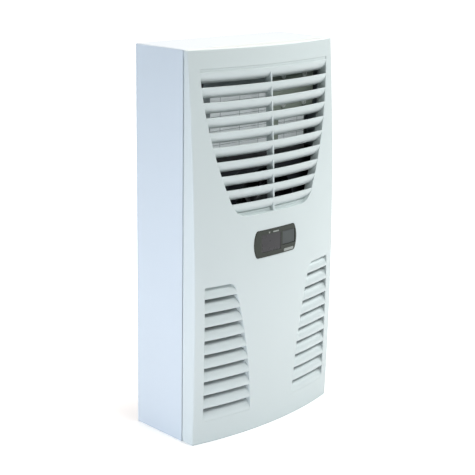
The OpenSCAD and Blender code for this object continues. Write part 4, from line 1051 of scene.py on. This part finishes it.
PROUD, BEZEL_T, FACE_R, HOLE_R, FLANGE_GAP = 0.8, 4.8, 0.7, 0.4, 0.06
WINDOW = (-29.0, 9.0, 264.75, 289.75)
KEY = (12.5, 39.5, 269.25, 289.25)
BEHIND_COVER = COVER_T + FLANGE_GAP
bezel = Surface()
face_loop = display_loop(0.0, True)
window_hole, key_hole = into(rect(*WINDOW)), into(rect(*KEY))
bezel.skin(shrunk(face_loop, FACE_R), [shrunk(window_hole, HOLE_R), shrunk(key_hole, HOLE_R)],
           4.0, -PROUD)
rolled_edge(bezel, face_loop, FACE_R, at_depth(BEHIND_COVER), lift=PROUD)
for hole in (window_hole, key_hole):
    rolled_edge(bezel, hole, HOLE_R, at_depth(BEZEL_T - PROUD), lift=PROUD)

# %% The flange behind the cover, the walls that reach back and the frame's inner face
FLANGE, BEZEL_WALL, BEZEL_BACK = 2.5, 1.5, FRONT_Y + 15.0
grown = [(p + d * FLANGE, d) for p, d in face_loop]
hollow = [(p - d * BEZEL_WALL, d) for p, d in face_loop]
flange_front, flange_back = at_depth(BEHIND_COVER), at_depth(BEHIND_COVER + BEZEL_WALL)
wall_end = at_plane(BEZEL_BACK)


def bezel_ring(loop_a, loop_b, lift_a, lift_b, facing=None):
    """A strip between two lifted loops. It faces in one direction, or as the first loop does."""
    sides = [facing] * len(loop_a) if facing else sideways(loop_a)
    bezel.strip([[lift_a(p) for p, d in loop_a], [lift_b(p) for p, d in loop_b]], [sides] * 2)


bezel_ring(face_loop, grown, flange_front, flange_front, FORWARDS)
bezel_ring(grown, grown, flange_front, flange_back)
bezel_ring(grown, face_loop, flange_back, flange_back, BACKWARDS)
bezel_ring(face_loop, face_loop, flange_back, wall_end)
bezel_ring(face_loop, hollow, wall_end, wall_end, BACKWARDS)
bezel_ring(into(hollow), hollow, wall_end, at_depth(BEZEL_T - PROUD))
bezel.skin([p for p, d in hollow], [[p for p, d in hole] for hole in (window_hole, key_hole)],
           6.0, BEZEL_T - PROUD, BACKWARDS)
bezel.made("display_frame", bezel_moulding, "cover", ["display_bezel"])

# %% The window and the key pad
def pad(name, loop, sunk, radius, finish, body="cover", stands_for=(), deep=3.5):
    """A plate with a rounded edge that follows the front, sunk below the bezel's face."""
    lift = PROUD - sunk
    surface = Surface()
    surface.skin(shrunk(loop, radius), [], 4.0, -lift)
    rolled_edge(surface, loop, radius, at_depth(deep - lift), 3, lift)
    surface.skin([p for p, d in loop], [], 6.0, deep - lift, BACKWARDS)
    surface.made(name, finish, body, stands_for)


def fitted(opening, gap, radius):
    """The loop of a plate that stands in an opening with a gap all round."""
    x0, x1, z0, z1 = opening
    return rect(x0 + gap, x1 - gap, z0 + gap, z1 - gap, radius)


pad("display_glass", fitted(WINDOW, 0.05, 0.7), 0.6, 0.15, window_smoked,
    stands_for=["display_window"])
pad("display_key_pad", fitted(KEY, 0.3, 1.2), PROUD, 0.6, key_silicone, "key", ["display_key"])

# %% Two indicator lenses above the window and a blank name strip below the key
pad("lens_round", rect(-15.8, -13.2, 290.8, 293.4, 1.25), -0.2, 0.2, light_guide, deep=0.6)
pad("lens_long", rect(-7.2, 4.4, 291.1, 293.1, 0.9), -0.2, 0.2, light_guide, deep=0.6)
pad("name_strip", rect(15.0, 35.5, 259.4, 263.4, 1.0), -0.15, 0.15, light_guide, deep=0.5)

# %% [markdown]
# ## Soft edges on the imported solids
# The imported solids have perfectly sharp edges, which no folded sheet, casting or moulding has.
# Where a solid's shape is already right, a copy of it is taken, its flat triangles are merged
# back into whole faces, and a narrow bevel runs along every edge. The copy then stands for the
# solid. To build each of these again would give the same shape for more work.

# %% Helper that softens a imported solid
def softened(node, name, finish, bevel, body="chassis", cuts=()):
    """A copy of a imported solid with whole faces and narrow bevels, which stands for the solid."""
    work = bmesh.new()
    work.from_mesh(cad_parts[node].data)
    bmesh.ops.remove_doubles(work, verts=work.verts, dist=1e-6)
    bmesh.ops.dissolve_limit(work, angle_limit=math.radians(0.5), verts=work.verts,
                             edges=work.edges)
    mesh = bpy.data.meshes.new(name)
    work.to_mesh(mesh)
    work.free()
    obj = placed(name, mesh)
    if cuts:
        carved(obj, cuts)
    return dressed(obj, finish, body, [node], 40, bevel)


# %% Sheet metal, mouldings, foam and shafts that only need soft edges
soft_solids = {
    "chassis": [
        ("rear_gasket", "foam_seal", cell_foam, 0.6),
        ("divider_wall", "divider_sheet", zinc_sheet, 0.3),
        ("cold_side_foam", "cold_side_lining", cell_foam, 0.8),
        ("fan_bay_foam", "fan_bay_lining", cell_foam, 0.8),
        ("fan_bay_box", "fan_bay_sheet", zinc_sheet, 0.4),
        ("intake_sensor", "air_sensor", wheel_moulding, 0.4),
        ("evaporator_end_plates", "evaporator_brackets", zinc_sheet, 0.3),
        ("condenser_end_plates", "condenser_brackets", zinc_sheet, 0.3),
        ("evaporator_tubes", "evaporator_hairpins", drawn_copper, 0),
        ("condenser_tubes", "condenser_hairpins", drawn_copper, 0),
        ("condensate_tray", "drip_tray", tray_moulding, 0.5),
        ("drain_spigot", "drain_cup", tray_moulding, 0.5),
        ("compressor_base", "compressor_plate", black_enamel, 0.5),
        ("compressor_feet", "rubber_feet", black_rubber, 0.5),
        ("compressor_bolts", "foot_bolts", zinc_hardware, 0.35),
        ("compressor_terminal_cover", "terminal_cap", wheel_moulding, 1.2),
        ("outer_fan_plate", "fan_plate", dark_enamel, 0.4),
        ("outer_fan_motor", "fan_spider", black_enamel, 0.5),
        ("dryer_bracket", "dryer_clamp", zinc_sheet, 0.3),
        ("electrics_box", "electrics_case", box_enamel, 0.3),
        ("electrics_lid", "electrics_cover", box_enamel, 0.35),
        ("terminal_header", "rear_socket", terminal_moulding, 0.4),
        ("cover_clips", "clip_bushes", nylon, 0.3)],
    "cover": [("display_board", "display_circuit", solder_resist, 0.15)],
    "outer_fan": [("outer_fan_shaft", "fan_shaft_front", ground_steel, 0.4)],
    "inner_fan": [("inner_fan_shaft", "fan_shaft_rear", ground_steel, 0.4)]}
for body, solids in soft_solids.items():
    for node, name, finish, bevel in solids:
        softened(node, name, finish, bevel, body)

# %% [markdown]
# ## Screws
# The lid is held by four pan-head screws with a cross recess, the brightest spots behind the
# slats: their near-white, half-metallic finish is a painted glint. A head is a turned profile,
# and the recess is two tapered wedges that are cut out of it.

# %% Helpers for screws
def pan_head(x, z, y, radius, height, way, shank=0.0, shank_r=2.0):
    """A screw with its head on the plane y. way is -1 for a head to the front."""
    dome = [(radius * math.cos(t), y + way * height * (0.35 + 0.65 * math.sin(t)))
            for t in (0, 0.35, 0.7, 1.0, 1.25)]
    stem = [(shank_r * 0.7, y - way * shank), (shank_r, y - way * (shank - 0.6)), (shank_r, y)]
    return turned((stem if shank else []) + [(radius, y)] + dome, "y", (x, 0, z), 32)


def wedge(x, z, y0, a0, b0, y1, a1, b1):
    """A block that tapers along Y, from half sizes a0, b0 to a1, b1."""
    pts = [(x + sx * a, y, z + sz * b) for y, a, b in ((y0, a0, b0), (y1, a1, b1))
           for sx, sz in ((-1, -1), (1, -1), (1, 1), (-1, 1))]
    return pts, [(0, 1, 2, 3), (4, 7, 6, 5), (0, 4, 5, 1), (1, 5, 6, 2), (2, 6, 7, 3), (3, 7, 4, 0)]


def screws(name, places, y, radius, height, way, stands_for=(), shank=0.0,
           finish=zinc_hardware):
    """A set of screws, as one piece with cross recesses."""
    top, low = y + way * (height + 0.3), y + way * height * 0.25
    slot, arm, arm_low = radius * 0.13, radius * 0.6, radius * 0.25
    heads = [pan_head(x, z, y, radius, height, way, shank) for x, z in places]
    across = [wedge(x, z, top, arm, slot, low, arm_low, slot * 0.7) for x, z in places]
    upright = [wedge(x, z, top, slot, arm, low, slot * 0.7, arm_low) for x, z in places]
    piece(name, joined(*heads), finish, "chassis", stands_for, crease=30,
          cuts=[joined(*across), joined(*upright)])


# %% [markdown]
# ## Boxes and labels behind the upper slats
# Two boxes hang behind the slats. The left one is the bay of the inner fan and carries a large
# light label, the right one holds the electrics. The labels stay bare except for thin ruled
# lines, as on any form, because lines of cells are all that can be made out through the slats.

# %% The lid's screws and the bay's rivets
BOX_CORNER, BOX_GAP = (112, 528), 2  # the corner where the bowed cover comes closest
BOX_FRONT = skin_point(*BOX_CORNER)[1] + COLLAR_D + BOX_GAP
BAY_X, BAY_Z = -41.5, 460.0
screws("lid_screw_set", [(x, z) for x in (49.5, 92.5) for z in (459.5, 500.5)], BOX_FRONT,
       4.0, 2.6, -1, ["lid_screws"], shank=9.7, finish=zinc_with_painted_glint)
rivets = [turned([(2.2, BOX_FRONT), (2.1, BOX_FRONT - 0.5), (1.5, BOX_FRONT - 1.0),
                  (0.6, BOX_FRONT - 1.2)], "y", (x, 0, z), 20)
          for x in (-99, 16) for z in (396, 522)]
piece("bay_rivets", joined(*rivets), zinc_hardware)

# %% The ruled labels
def ruled_film(name, cell_w, cell_h):
    """The label film with thin grey lines between its empty cells."""
    finish = label_film.copy()
    finish.name = name
    tree = finish.node_tree
    shader = tree.nodes["Principled BSDF"]
    film = shader.inputs["Base Color"].links[0].from_socket
    where = add_node(tree, "TexCoord").outputs["Object"]
    apart = add_node(tree, "SeparateXYZ", {0: where})
    flat = add_node(tree, "CombineXYZ", {"X": apart.outputs["X"], "Y": apart.outputs["Z"]})
    cells = add_node(tree, "TexBrick", {
        "Vector": flat.outputs[0], "Scale": 1.0, "Mortar Size": 0.0004, "Mortar Smooth": 0.2,
        "Brick Width": cell_w * MM, "Row Height": cell_h * MM, "Mortar": srgb(150, 156, 158),
        "Color1": film, "Color2": film}, offset=0.0)
    tree.links.new(cells.outputs["Color"], shader.inputs["Base Color"])
    return finish


def round_plate(x0, x1, z0, z1, y0, y1, radius):
    """A flat plate with round corners that faces the front."""
    loop = [p for p, d in rect(x0, x1, z0, z1, radius, UNIT_H * 2)]
    return carried([(loop, y0), (loop, y1)])


LABEL_FRONT = BOX_FRONT - 0.3
piece("bay_label", round_plate(-92, 18, 400, 487, LABEL_FRONT, BOX_FRONT, 2.5),
      ruled_film("ruled_label_wide", 36.7, 9.7), "chassis", ["rating_label"])
piece("lid_label", round_plate(41, 94, 393, 445, LABEL_FRONT, BOX_FRONT, 2.0),
      ruled_film("ruled_label_narrow", 26.5, 8.7), "chassis", ["wiring_label"])

# %% [markdown]
# Two strips of black foam lie along the lower edges of the boxes. They are painted shade: a dark
# band below the labels, where the space behind the slats lies in shade.

# %% The black strips under the labels, painted shade
shade_strip_parts = [round_plate(x0, x1, 392.6, 403.4, BOX_FRONT - 3.8, BOX_FRONT - 0.35, 1.2)
              for x0, x1 in ((-109, 24), (28.5, 93))]
# Black strips below the labels: painted shade where the space behind the slats lies dark.
piece("painted_shade_strips", joined(*shade_strip_parts), cell_foam)

# %% [markdown]
# ## The outer fan
# An axial fan wheel draws the air past the condenser and blows it out through the upper slats.
# Its blades are twisted: near the hub they move slowly and stand steeply, at the tip they are
# fast and flat. Each blade is lofted from thin rounded sections that are wrapped round the axis.

# %% The axial wheel
FAN_Z, FAN_FRONT, FAN_BACK, FAN_R, HUB_R, ROOT_R = 321.0, -44.0, -22.4, 56.0, 23.0, 22.2
BLADES, BLADE_Y = 7, (FAN_FRONT + FAN_BACK) / 2 - 1.5


def blade_section(radius, turn, chord, pitch, thick, steps=10):
    """A rounded section on a cylinder round the fan's axis: chord and pitch set how it lies."""
    row = []
    for k in list(range(steps + 1)) + list(range(steps - 1, 0, -1)):
        v = k / steps * 2 - 1
        side = 1 if len(row) <= steps else -1
        camber = 0.09 * chord * (1 - v * v)
        half = side * thick / 2 * math.sqrt(max(0.0, 1 - v * v)) + camber
        along_chord = v * chord / 2
        a = turn + (along_chord * math.cos(pitch) - half * math.sin(pitch)) / radius
        y = BLADE_Y + along_chord * math.sin(pitch) + half * math.cos(pitch)
        row.append((radius * math.sin(a), min(max(y, FAN_FRONT + 0.2), FAN_BACK - 0.1),
                    FAN_Z + radius * math.cos(a)))
    return row


blades = []
for i in range(BLADES):
    rows = []
    for u in (k / 8 for k in range(9)):
        rows.append(blade_section(ROOT_R + (FAN_R - 0.5 - ROOT_R) * u,
                                  2 * math.pi * i / BLADES + 0.32 * u * u, 24 + 15 * u,
                                  math.radians(40 - 16 * u), 2.0 - 0.8 * u))
    blades.append(skin_over(rows, caps=True))
hub = turned([(3.06, FAN_FRONT + 0.6), (17, FAN_FRONT), (20.4, FAN_FRONT + 0.3),
              (22.3, FAN_FRONT + 1.4), (HUB_R, FAN_FRONT + 3.4), (HUB_R, FAN_BACK), (21, FAN_BACK),
              (21, FAN_FRONT + 3), (19.5, FAN_FRONT + 2), (3.06, FAN_FRONT + 2)],
             "y", (0, 0, FAN_Z), 64, closed=True)
piece("axial_wheel", joined(hub, *blades), wheel_moulding, "outer_fan", ["outer_fan_wheel"],
      crease=45)

# %% [markdown]
# ## The inner fan
# The enclosure's air comes in through a bell mouth and leaves a backward-curved wheel at its rim.
# The wheel is two discs with curved blades between them. From behind, the bell, the hub and the
# inner ends of the blades can be seen through the wire guard.

# %% The radial wheel
WHEEL_Y, WHEEL_R, VANES, BAY_AXIS = 3.4, 50.0, 9, (BAY_X, 0, BAY_Z)
back_disc = [(3.0, 0), (WHEEL_R - 0.6, 0), (WHEEL_R, 0.6), (WHEEL_R, 1.6), (WHEEL_R - 0.5, 2),
             (20, 2), (14, 5), (13, 9), (12.4, 12.4), (11.4, 13), (3.0, 13)]
front_disc = [(39, 39.4), (39.6, 38.4), (WHEEL_R, 38), (WHEEL_R, 39.4), (WHEEL_R - 0.6, 40),
              (39.6, 40)]
wheel_parts = [turned([(r, WHEEL_Y + y) for r, y in disc], "y", BAY_AXIS, 64, closed=True)
               for disc in (back_disc, front_disc)]
for i in range(VANES):
    curve = [(30 + 19.8 * u, 2 * math.pi * i / VANES - 0.75 * u ** 1.2,
              0.8 * (0.6 + math.sin(math.pi * min(u * 1.3, 1)) * 0.5))
             for u in (k / 10 for k in range(11))]
    loop = [(r, a - t / r) for r, a, t in curve] + [(r, a + t / r) for r, a, t in reversed(curve)]
    wheel_parts.append(skin_over([[(BAY_X + r * math.sin(a), y, BAY_Z + r * math.cos(a))
                                   for r, a in loop] for y in (WHEEL_Y + 1.9, WHEEL_Y + 38.4)],
                                 caps=True))
piece("radial_wheel", joined(*wheel_parts), wheel_moulding, "inner_fan", ["inner_fan_wheel"],
      crease=40)

# %% The ribbed fan motor
MOTOR_Y = BOX_FRONT + 1
ribs = [(r, 3 + 3 * i + y) for i in range(6) for r, y in ((24, 0), (24, 1.6), (22.6, 1.9),
                                                          (22.6, 2.7))]
motor_profile = [(3.1, 2), (3.1, 0), (22, 0), (24, 1.5)] + ribs + \
    [(24, 21), (24, 24), (22.5, 26), (8, 26), (7, 25), (3.1, 25)]
motor = turned([(r, MOTOR_Y + y) for r, y in motor_profile], "y", BAY_AXIS, 64, closed=True)
piece("ribbed_motor", motor, black_enamel, "chassis", ["inner_fan_motor"], crease=30)

# %% The bell mouth
BELL_FRONT, BELL_FLARE, BELL_BACK, BELL_R = 41.4, 55, 66.5, 51
inner_flare = [(35.8 + 6.2 * (1 - math.cos(t)), BELL_FLARE + 11.5 * math.sin(t))
               for t in quarter_turn(8)]
outer_flare = [(37 + 6 * (1 - math.cos(t)), BELL_FLARE + 10.3 * math.sin(t))
               for t in quarter_turn(8)]
bell = turned([(35.8, BELL_FRONT)] + inner_flare + [(BELL_R, BELL_BACK), (BELL_R, BELL_BACK - 1.2)]
              + outer_flare[::-1] + [(37, BELL_FRONT)], "y", BAY_AXIS, 72, closed=True)
piece("bell_mouth", bell, zinc_sheet, "chassis", ["inlet_bell"], crease=50)

# %% [markdown]
# ## The back
# The rear panel is set into the housing with a folded rim and has a round inlet, a long outlet, a
# cut-out for the terminals and four threaded nuts. A guard of welded wire covers the inlet. The
# nuts are turned parts, and their thread is cut as a row of small grooves, which looks the same
# as a helix at this size.

# %% The rear panel and its screws
GUARD_HOLE = 32.4
softened("rear_panel", "rear_sheet", zinc_sheet, 0.3)
screws("panel_screws", [(x, z) for x in (-118, 118) for z in (60, 300, 480)], CASE_BACK,
       3.2, 1.7, 1)
screws("guard_screws", [(BAY_X + x, BAY_Z + z) for x in (-GUARD_HOLE, GUARD_HOLE)
                        for z in (-GUARD_HOLE, GUARD_HOLE)], CASE_BACK, 3.0, 1.8, 1)

# %% The wire guard: four rings and four bars, of which the slanting two reach the screws
WIRE_R = 0.8
wire = [(WIRE_R * math.cos(2 * math.pi * k / 10), WIRE_R * math.sin(2 * math.pi * k / 10))
        for k in range(10)]
guard_parts = [turned([(r + a, CASE_BACK + WIRE_R + b) for a, b in wire], "y", BAY_AXIS, 72,
                      closed=True) for r in (10, 20, 30, 40)]
for i in range(4):
    reach = 45.8 if i % 2 else 43
    dx, dz = reach * math.cos(math.pi * i / 4), reach * math.sin(math.pi * i / 4)
    ends = [(BAY_X + s * dx, CASE_BACK + WIRE_R, BAY_Z + s * dz) for s in (-1, 1)]
    guard_parts.append(pipe_along(ends, WIRE_R, 10))
piece("wire_guard", joined(*guard_parts), plated_wire, "chassis", ["inlet_guard"])

# %% The threaded nuts
thread = [p for k in range(14) for p in ((2.5, 68.6 - k), (2.5, 68.4 - k), (3.0, 67.9 - k))]
nuts = [turned([(3.2, 69.2), (6.1, 69.2), (6.5, 68.8), (6.5, 68.0), (4.5, 68.0), (4.5, 54.3),
                (4.2, 54.0), (2.6, 54.0)] + thread[::-1], "y", (x, 0, z), 48, closed=True)
        for x in (-110, 110) for z in (32, 518)]
piece("threaded_nuts", joined(*nuts), zinc_hardware, "chassis", ["mounting_nuts"])

# %% The terminal plug with its test slots
POLE, PLUG_X = 8.8, 70
slots = [wedge(PLUG_X + (i - 2) * POLE, 512.1, 68.5, 2.0, 0.6, 66.4, 1.8, 0.4) for i in range(5)]
grooves = [wedge(PLUG_X + (i - 1.5) * POLE, 508, 68.5, 0.35, 5.0, 67.4, 0.2, 5.0)
           for i in range(4)]
softened("terminal_plug", "screw_plug", terminal_moulding, 0.25, "plug",
         [joined(*slots, *grooves)])

# %% [markdown]
# ## Heat exchangers
# Each exchanger is a block of thin aluminium fins on copper hairpin tubes. Here every fin is
# its own rippled strip.

# %% Rippled fins
def fin_block(x_half, y0, y1, z0, z1, pitch=2.6, thick=0.2, ripple=0.35, waves=8):
    """A row of upright fins, each a thin strip that zigzags along Y."""
    count = round(2 * x_half / pitch) + 1
    strips = []
    for i in range(count):
        x = (2 * i / (count - 1) - 1) * (x_half - ripple - thick / 2)
        edge = [(x + ripple * (k % 2), y0 + (y1 - y0) * k / waves) for k in range(waves + 1)]
        loop = [(a - thick / 2, b) for a, b in edge] + [(a + thick / 2, b) for a, b in edge[::-1]]
        strips.append(skin_over([[(a, b, z) for a, b in loop] for z in (z0, z1)], caps=True))
    print("fins:", count)
    return joined(*strips)


DIV_Y, FOAM_BACK = 5.5, 12.5
COND = (100.2, DIV_Y - 42.5, DIV_Y - 2.5, 196.0, 250.0)
EVAP = (112.2, FOAM_BACK + 2, FOAM_BACK + 40, 264.0, 389.0)
piece("condenser_fin_block", fin_block(*COND), fin_sheet, "chassis", ["condenser_fins"],
      crease=15)
piece("evaporator_fin_block", fin_block(*EVAP), fin_sheet, "chassis", ["evaporator_fins"],
      crease=15)

# %% [markdown]
# ## The compressor
# A hermetic compressor is two deep-drawn steel cups welded together, painted black, on rubber
# feet. The outline is revolved, with the weld seam low on the side, and the two pipe stubs are
# brazed into its top.

# %% The welded shell
SHELL_R, SHELL_LOW, SHELL_TOP, DOME_R, STUB_X = 49.5, 17.5, 155.5, 30.0, 24
low_dome = [(SHELL_R - DOME_R + DOME_R * math.sin(t), SHELL_LOW + DOME_R * (1 - math.cos(t)))
            for t in quarter_turn(10)[:-1]]
high_dome = [(SHELL_R - DOME_R + DOME_R * math.cos(t), SHELL_TOP - DOME_R * (1 - math.sin(t)))
             for t in quarter_turn(10)[:-1]]
seam = [(49.6, 46.6), (50.4, 47.2), (51, 48.0), (51, 50.0), (50.6, 50.5), (50.2, 50.6),
        (50.3, 51.4), (49.9, 52.2), (49.5, 52.4)]
crown = [(19.5, SHELL_TOP), (12, SHELL_TOP - 0.3), (4, SHELL_TOP), (2, SHELL_TOP)]
shell = turned(low_dome + seam + high_dome + crown, "z", (0, COMP_Y, 0), 96)
stubs = [turned([(4.05, 150), (6.4, 150), (5.8, 155.6), (5, 157), (5, 161.6), (4.7, 162.4),
                 (4.05, 162.4)], "z", (x, COMP_Y, 0), 32, closed=True) for x in (-STUB_X, STUB_X)]
piece("welded_shell", joined(shell, *stubs), black_enamel, "chassis", ["compressor_shell"],
      crease=50)

# %% The wire clip that holds the terminal cap
clip_path = bent_path([(46, -6, 60.8), (46, -6, 60.6), (66.2, -6, 60.6), (66.2, -6, 106.2),
                       (46, -6, 106.2)], 3.0)
piece("terminal_cap_clip", pipe_along(clip_path, 0.7, 10), plated_wire)

# %% [markdown]
# ## Pipes
# The refrigerant runs through copper pipe that a hand bender has bent, so each corner is an even
# arc. A path through the corner points gets its corners rounded, and a circle is carried along
# it. Small collars of braze show where two pipes meet.

# %% Helpers for the pipes and their brazed joints
PIPE_R, HIGH, LOW, RISER, COND_RISER = 4.0, 181.0, 171.0, -131.0, -113.5
HOT_Y, COLD_Y = DIV_Y - 12.5, DIV_Y - 32.5
DRYER_X, DRYER_Y = -98.0, 38.5
EVAP_IN, EVAP_OUT = FOAM_BACK + 11.5, FOAM_BACK + 30.5
STUB_TOP, COND_X, COND_Z, EVAP_X, EVAP_Z, UNDER_TRAY = 162, -104.8, 205, -119, 276.5, 35.5


def braze(point, axis):
    """A collar of braze round a pipe that runs along an axis."""
    place = point["xyz".index(axis)]
    profile = [(-0.2, -2.4), (0.35, -1.6), (0.8, 0), (0.35, 1.6), (-0.2, 2.4)]
    return turned([(PIPE_R + r, place + p) for r, p in profile], axis, point, 24)


def copper_pipe(name, node, runs, joints, bend=9.0):
    """One refrigerant pipe: its bent runs and the places and axes of its brazed joints."""
    shapes = [pipe_along(bent_path(run, bend, 9), PIPE_R, 24) for run in runs]
    piece(name, joined(*shapes, *[braze(p, a) for p, a in joints]), drawn_copper, "chassis",
          [node], crease=50)


# %% The three refrigerant pipes
copper_pipe("hot_gas_line", "hot_gas_pipe", [
    [(STUB_X, COMP_Y, STUB_TOP), (STUB_X, COMP_Y, HIGH), (STUB_X, HOT_Y, HIGH),
     (COND_RISER, HOT_Y, HIGH), (COND_RISER, HOT_Y, COND_Z), (COND_X, HOT_Y, COND_Z)]],
    [((STUB_X, COMP_Y, STUB_TOP + 1.5), "z"), ((-50, HOT_Y, HIGH), "x")])
copper_pipe("liquid_line", "liquid_pipe", [
    [(COND_X, COLD_Y, COND_Z), (COND_RISER, COLD_Y, COND_Z), (COND_RISER, COLD_Y, LOW),
     (DRYER_X, COLD_Y, LOW), (DRYER_X, DRYER_Y, LOW), (DRYER_X, DRYER_Y, 160)],
    [(DRYER_X, DRYER_Y, 44), (DRYER_X, DRYER_Y, UNDER_TRAY), (RISER, DRYER_Y, UNDER_TRAY),
     (RISER, EVAP_IN, UNDER_TRAY), (RISER, EVAP_IN, 240.5)],
    [(RISER, EVAP_IN, 263.5), (RISER, EVAP_IN, EVAP_Z), (EVAP_X, EVAP_IN, EVAP_Z)]],
    [((DRYER_X, DRYER_Y, 161.5), "z"), ((DRYER_X, DRYER_Y, 42.5), "z"),
     ((RISER, EVAP_IN, 238), "z"), ((RISER, EVAP_IN, 266), "z")])
copper_pipe("suction_line", "suction_pipe", [
    [(EVAP_X, EVAP_OUT, EVAP_Z), (RISER, EVAP_OUT, EVAP_Z), (RISER, EVAP_OUT, HIGH),
     (-STUB_X, EVAP_OUT, HIGH), (-STUB_X, COMP_Y, HIGH), (-STUB_X, COMP_Y, STUB_TOP)]],
    [((-STUB_X, COMP_Y, STUB_TOP + 1.5), "z"), ((-70, EVAP_OUT, HIGH), "x")])

# %% The filter dryer, a spun copper capsule
dryer = turned([(4.2, 43.5), (5, 44.2), (5, 51), (5.6, 53), (7.6, 56), (9.2, 60), (9.5, 63),
                (9.5, 141), (9.2, 144), (7.6, 148), (5.6, 151), (5, 153), (5, 159.8),
                (4.2, 160.5)], "z", (DRYER_X, DRYER_Y, 0), 48)
piece("dryer_capsule", dryer, drawn_copper, "chassis", ["filter_dryer"], crease=60)

# %% The expansion valve with its power head
VALVE_Z = 252.0
valve = [block(-IN_X, -120, EVAP_IN - 9, EVAP_IN + 9, 240, 264),
         turned([(6, -120.1), (6, -118.8), (8, -118.2), (8, -114), (7.2, -112.8), (4, -112.2),
                 (2, -112)], "x", (0, EVAP_IN, VALVE_Z), 6)]
piece("valve_body", joined(*valve), turned_brass, "chassis", ["expansion_valve"], bevel=0.6)

# %% The valve's bulb on the suction pipe and the thin tube to it
thin_tube = bent_path([(-113, EVAP_IN, VALVE_Z), (-109, EVAP_IN, VALVE_Z), (-109, EVAP_IN, 236),
                       (-109, EVAP_OUT, 232), (-122.6, EVAP_OUT, 232), (-122.6, EVAP_OUT, 224)],
                      4, 6)
bulb = turned([(1, 226), (3.4, 224.5), (3.6, 222), (3.6, 213), (3.2, 211.5), (1, 211)], "z",
              (-122.8, EVAP_OUT, 0), 24)
piece("sensing_bulb", joined(pipe_along(thin_tube, 0.8, 10), bulb), drawn_copper)

# %% [markdown]
# ## Drain and electrics
# Condensate drips into the tray and leaves through a rubber hose that two spring clips hold. On
# the circuit board stand the relays, two capacitors, a terminal block and a few small parts, as
# on any controller of this kind.

# %% The drain hose and its clips
CLIP_R, CLIP_WIRE = 8.7, 0.6
hose = tube(8.06, 6.06, 25.7, 189.5, "z", (DRAIN_X, DRAIN_Y, 0), 40, 0.6)
piece("drain_tube", hose, black_rubber, "chassis", ["drain_hose"], crease=50)
rings = [turned([(CLIP_R + CLIP_WIRE * a / WIRE_R, z + CLIP_WIRE * b / WIRE_R) for a, b in wire],
                "z", (DRAIN_X, DRAIN_Y, 0), 40, closed=True) for z in (31, 33, 183, 185)]
piece("hose_clips", joined(*rings), zinc_hardware)

# %% The circuit board and its parts
BOARD_Y = DIV_Y - 1 - 5 - 1.6
softened("control_board", "controller_circuit", solder_resist, 0.2)
parts = [block(62, 90, BOARD_Y - 9, BOARD_Y, 440, 450)]
parts += [block(x, x + 4, BOARD_Y - 10, BOARD_Y - 9, 442, 448) for x in (64, 71, 78, 85)]
parts += [block(60, 72, BOARD_Y - 1.8, BOARD_Y, 420, 432),
          block(76, 84, BOARD_Y - 1.5, BOARD_Y, 424, 429)]
piece("board_parts", joined(*parts), wheel_moulding, bevel=0.3)
cans = [turned([(4.6, BOARD_Y), (5, BOARD_Y - 0.6), (5, BOARD_Y - 1.2), (4.6, BOARD_Y - 1.7),
                (5, BOARD_Y - 2.2), (5, BOARD_Y - 11.4), (4.4, BOARD_Y - 12)], "y", (x, 0, z), 28)
        for x, z in ((38, 424), (50, 424), (44, 440))]
piece("board_capacitors", joined(*cans), drawn_can)

# %% The run capacitor and its two tabs
CAN_Y = DIV_Y - 13
can = turned([(10.8, 51), (11.6, 51.2), (12, 52), (12, 53.2), (11.4, 54), (12, 54.8), (12, 90),
              (11.4, 91)], "x", (0, CAN_Y, 480), 48)
tabs = [block(91, 95.5, CAN_Y + y - 0.4, CAN_Y + y + 0.4, 477, 483) for y in (-5, 5)]
piece("capacitor_can", joined(can, *tabs), drawn_can, "chassis", ["run_capacitor"])
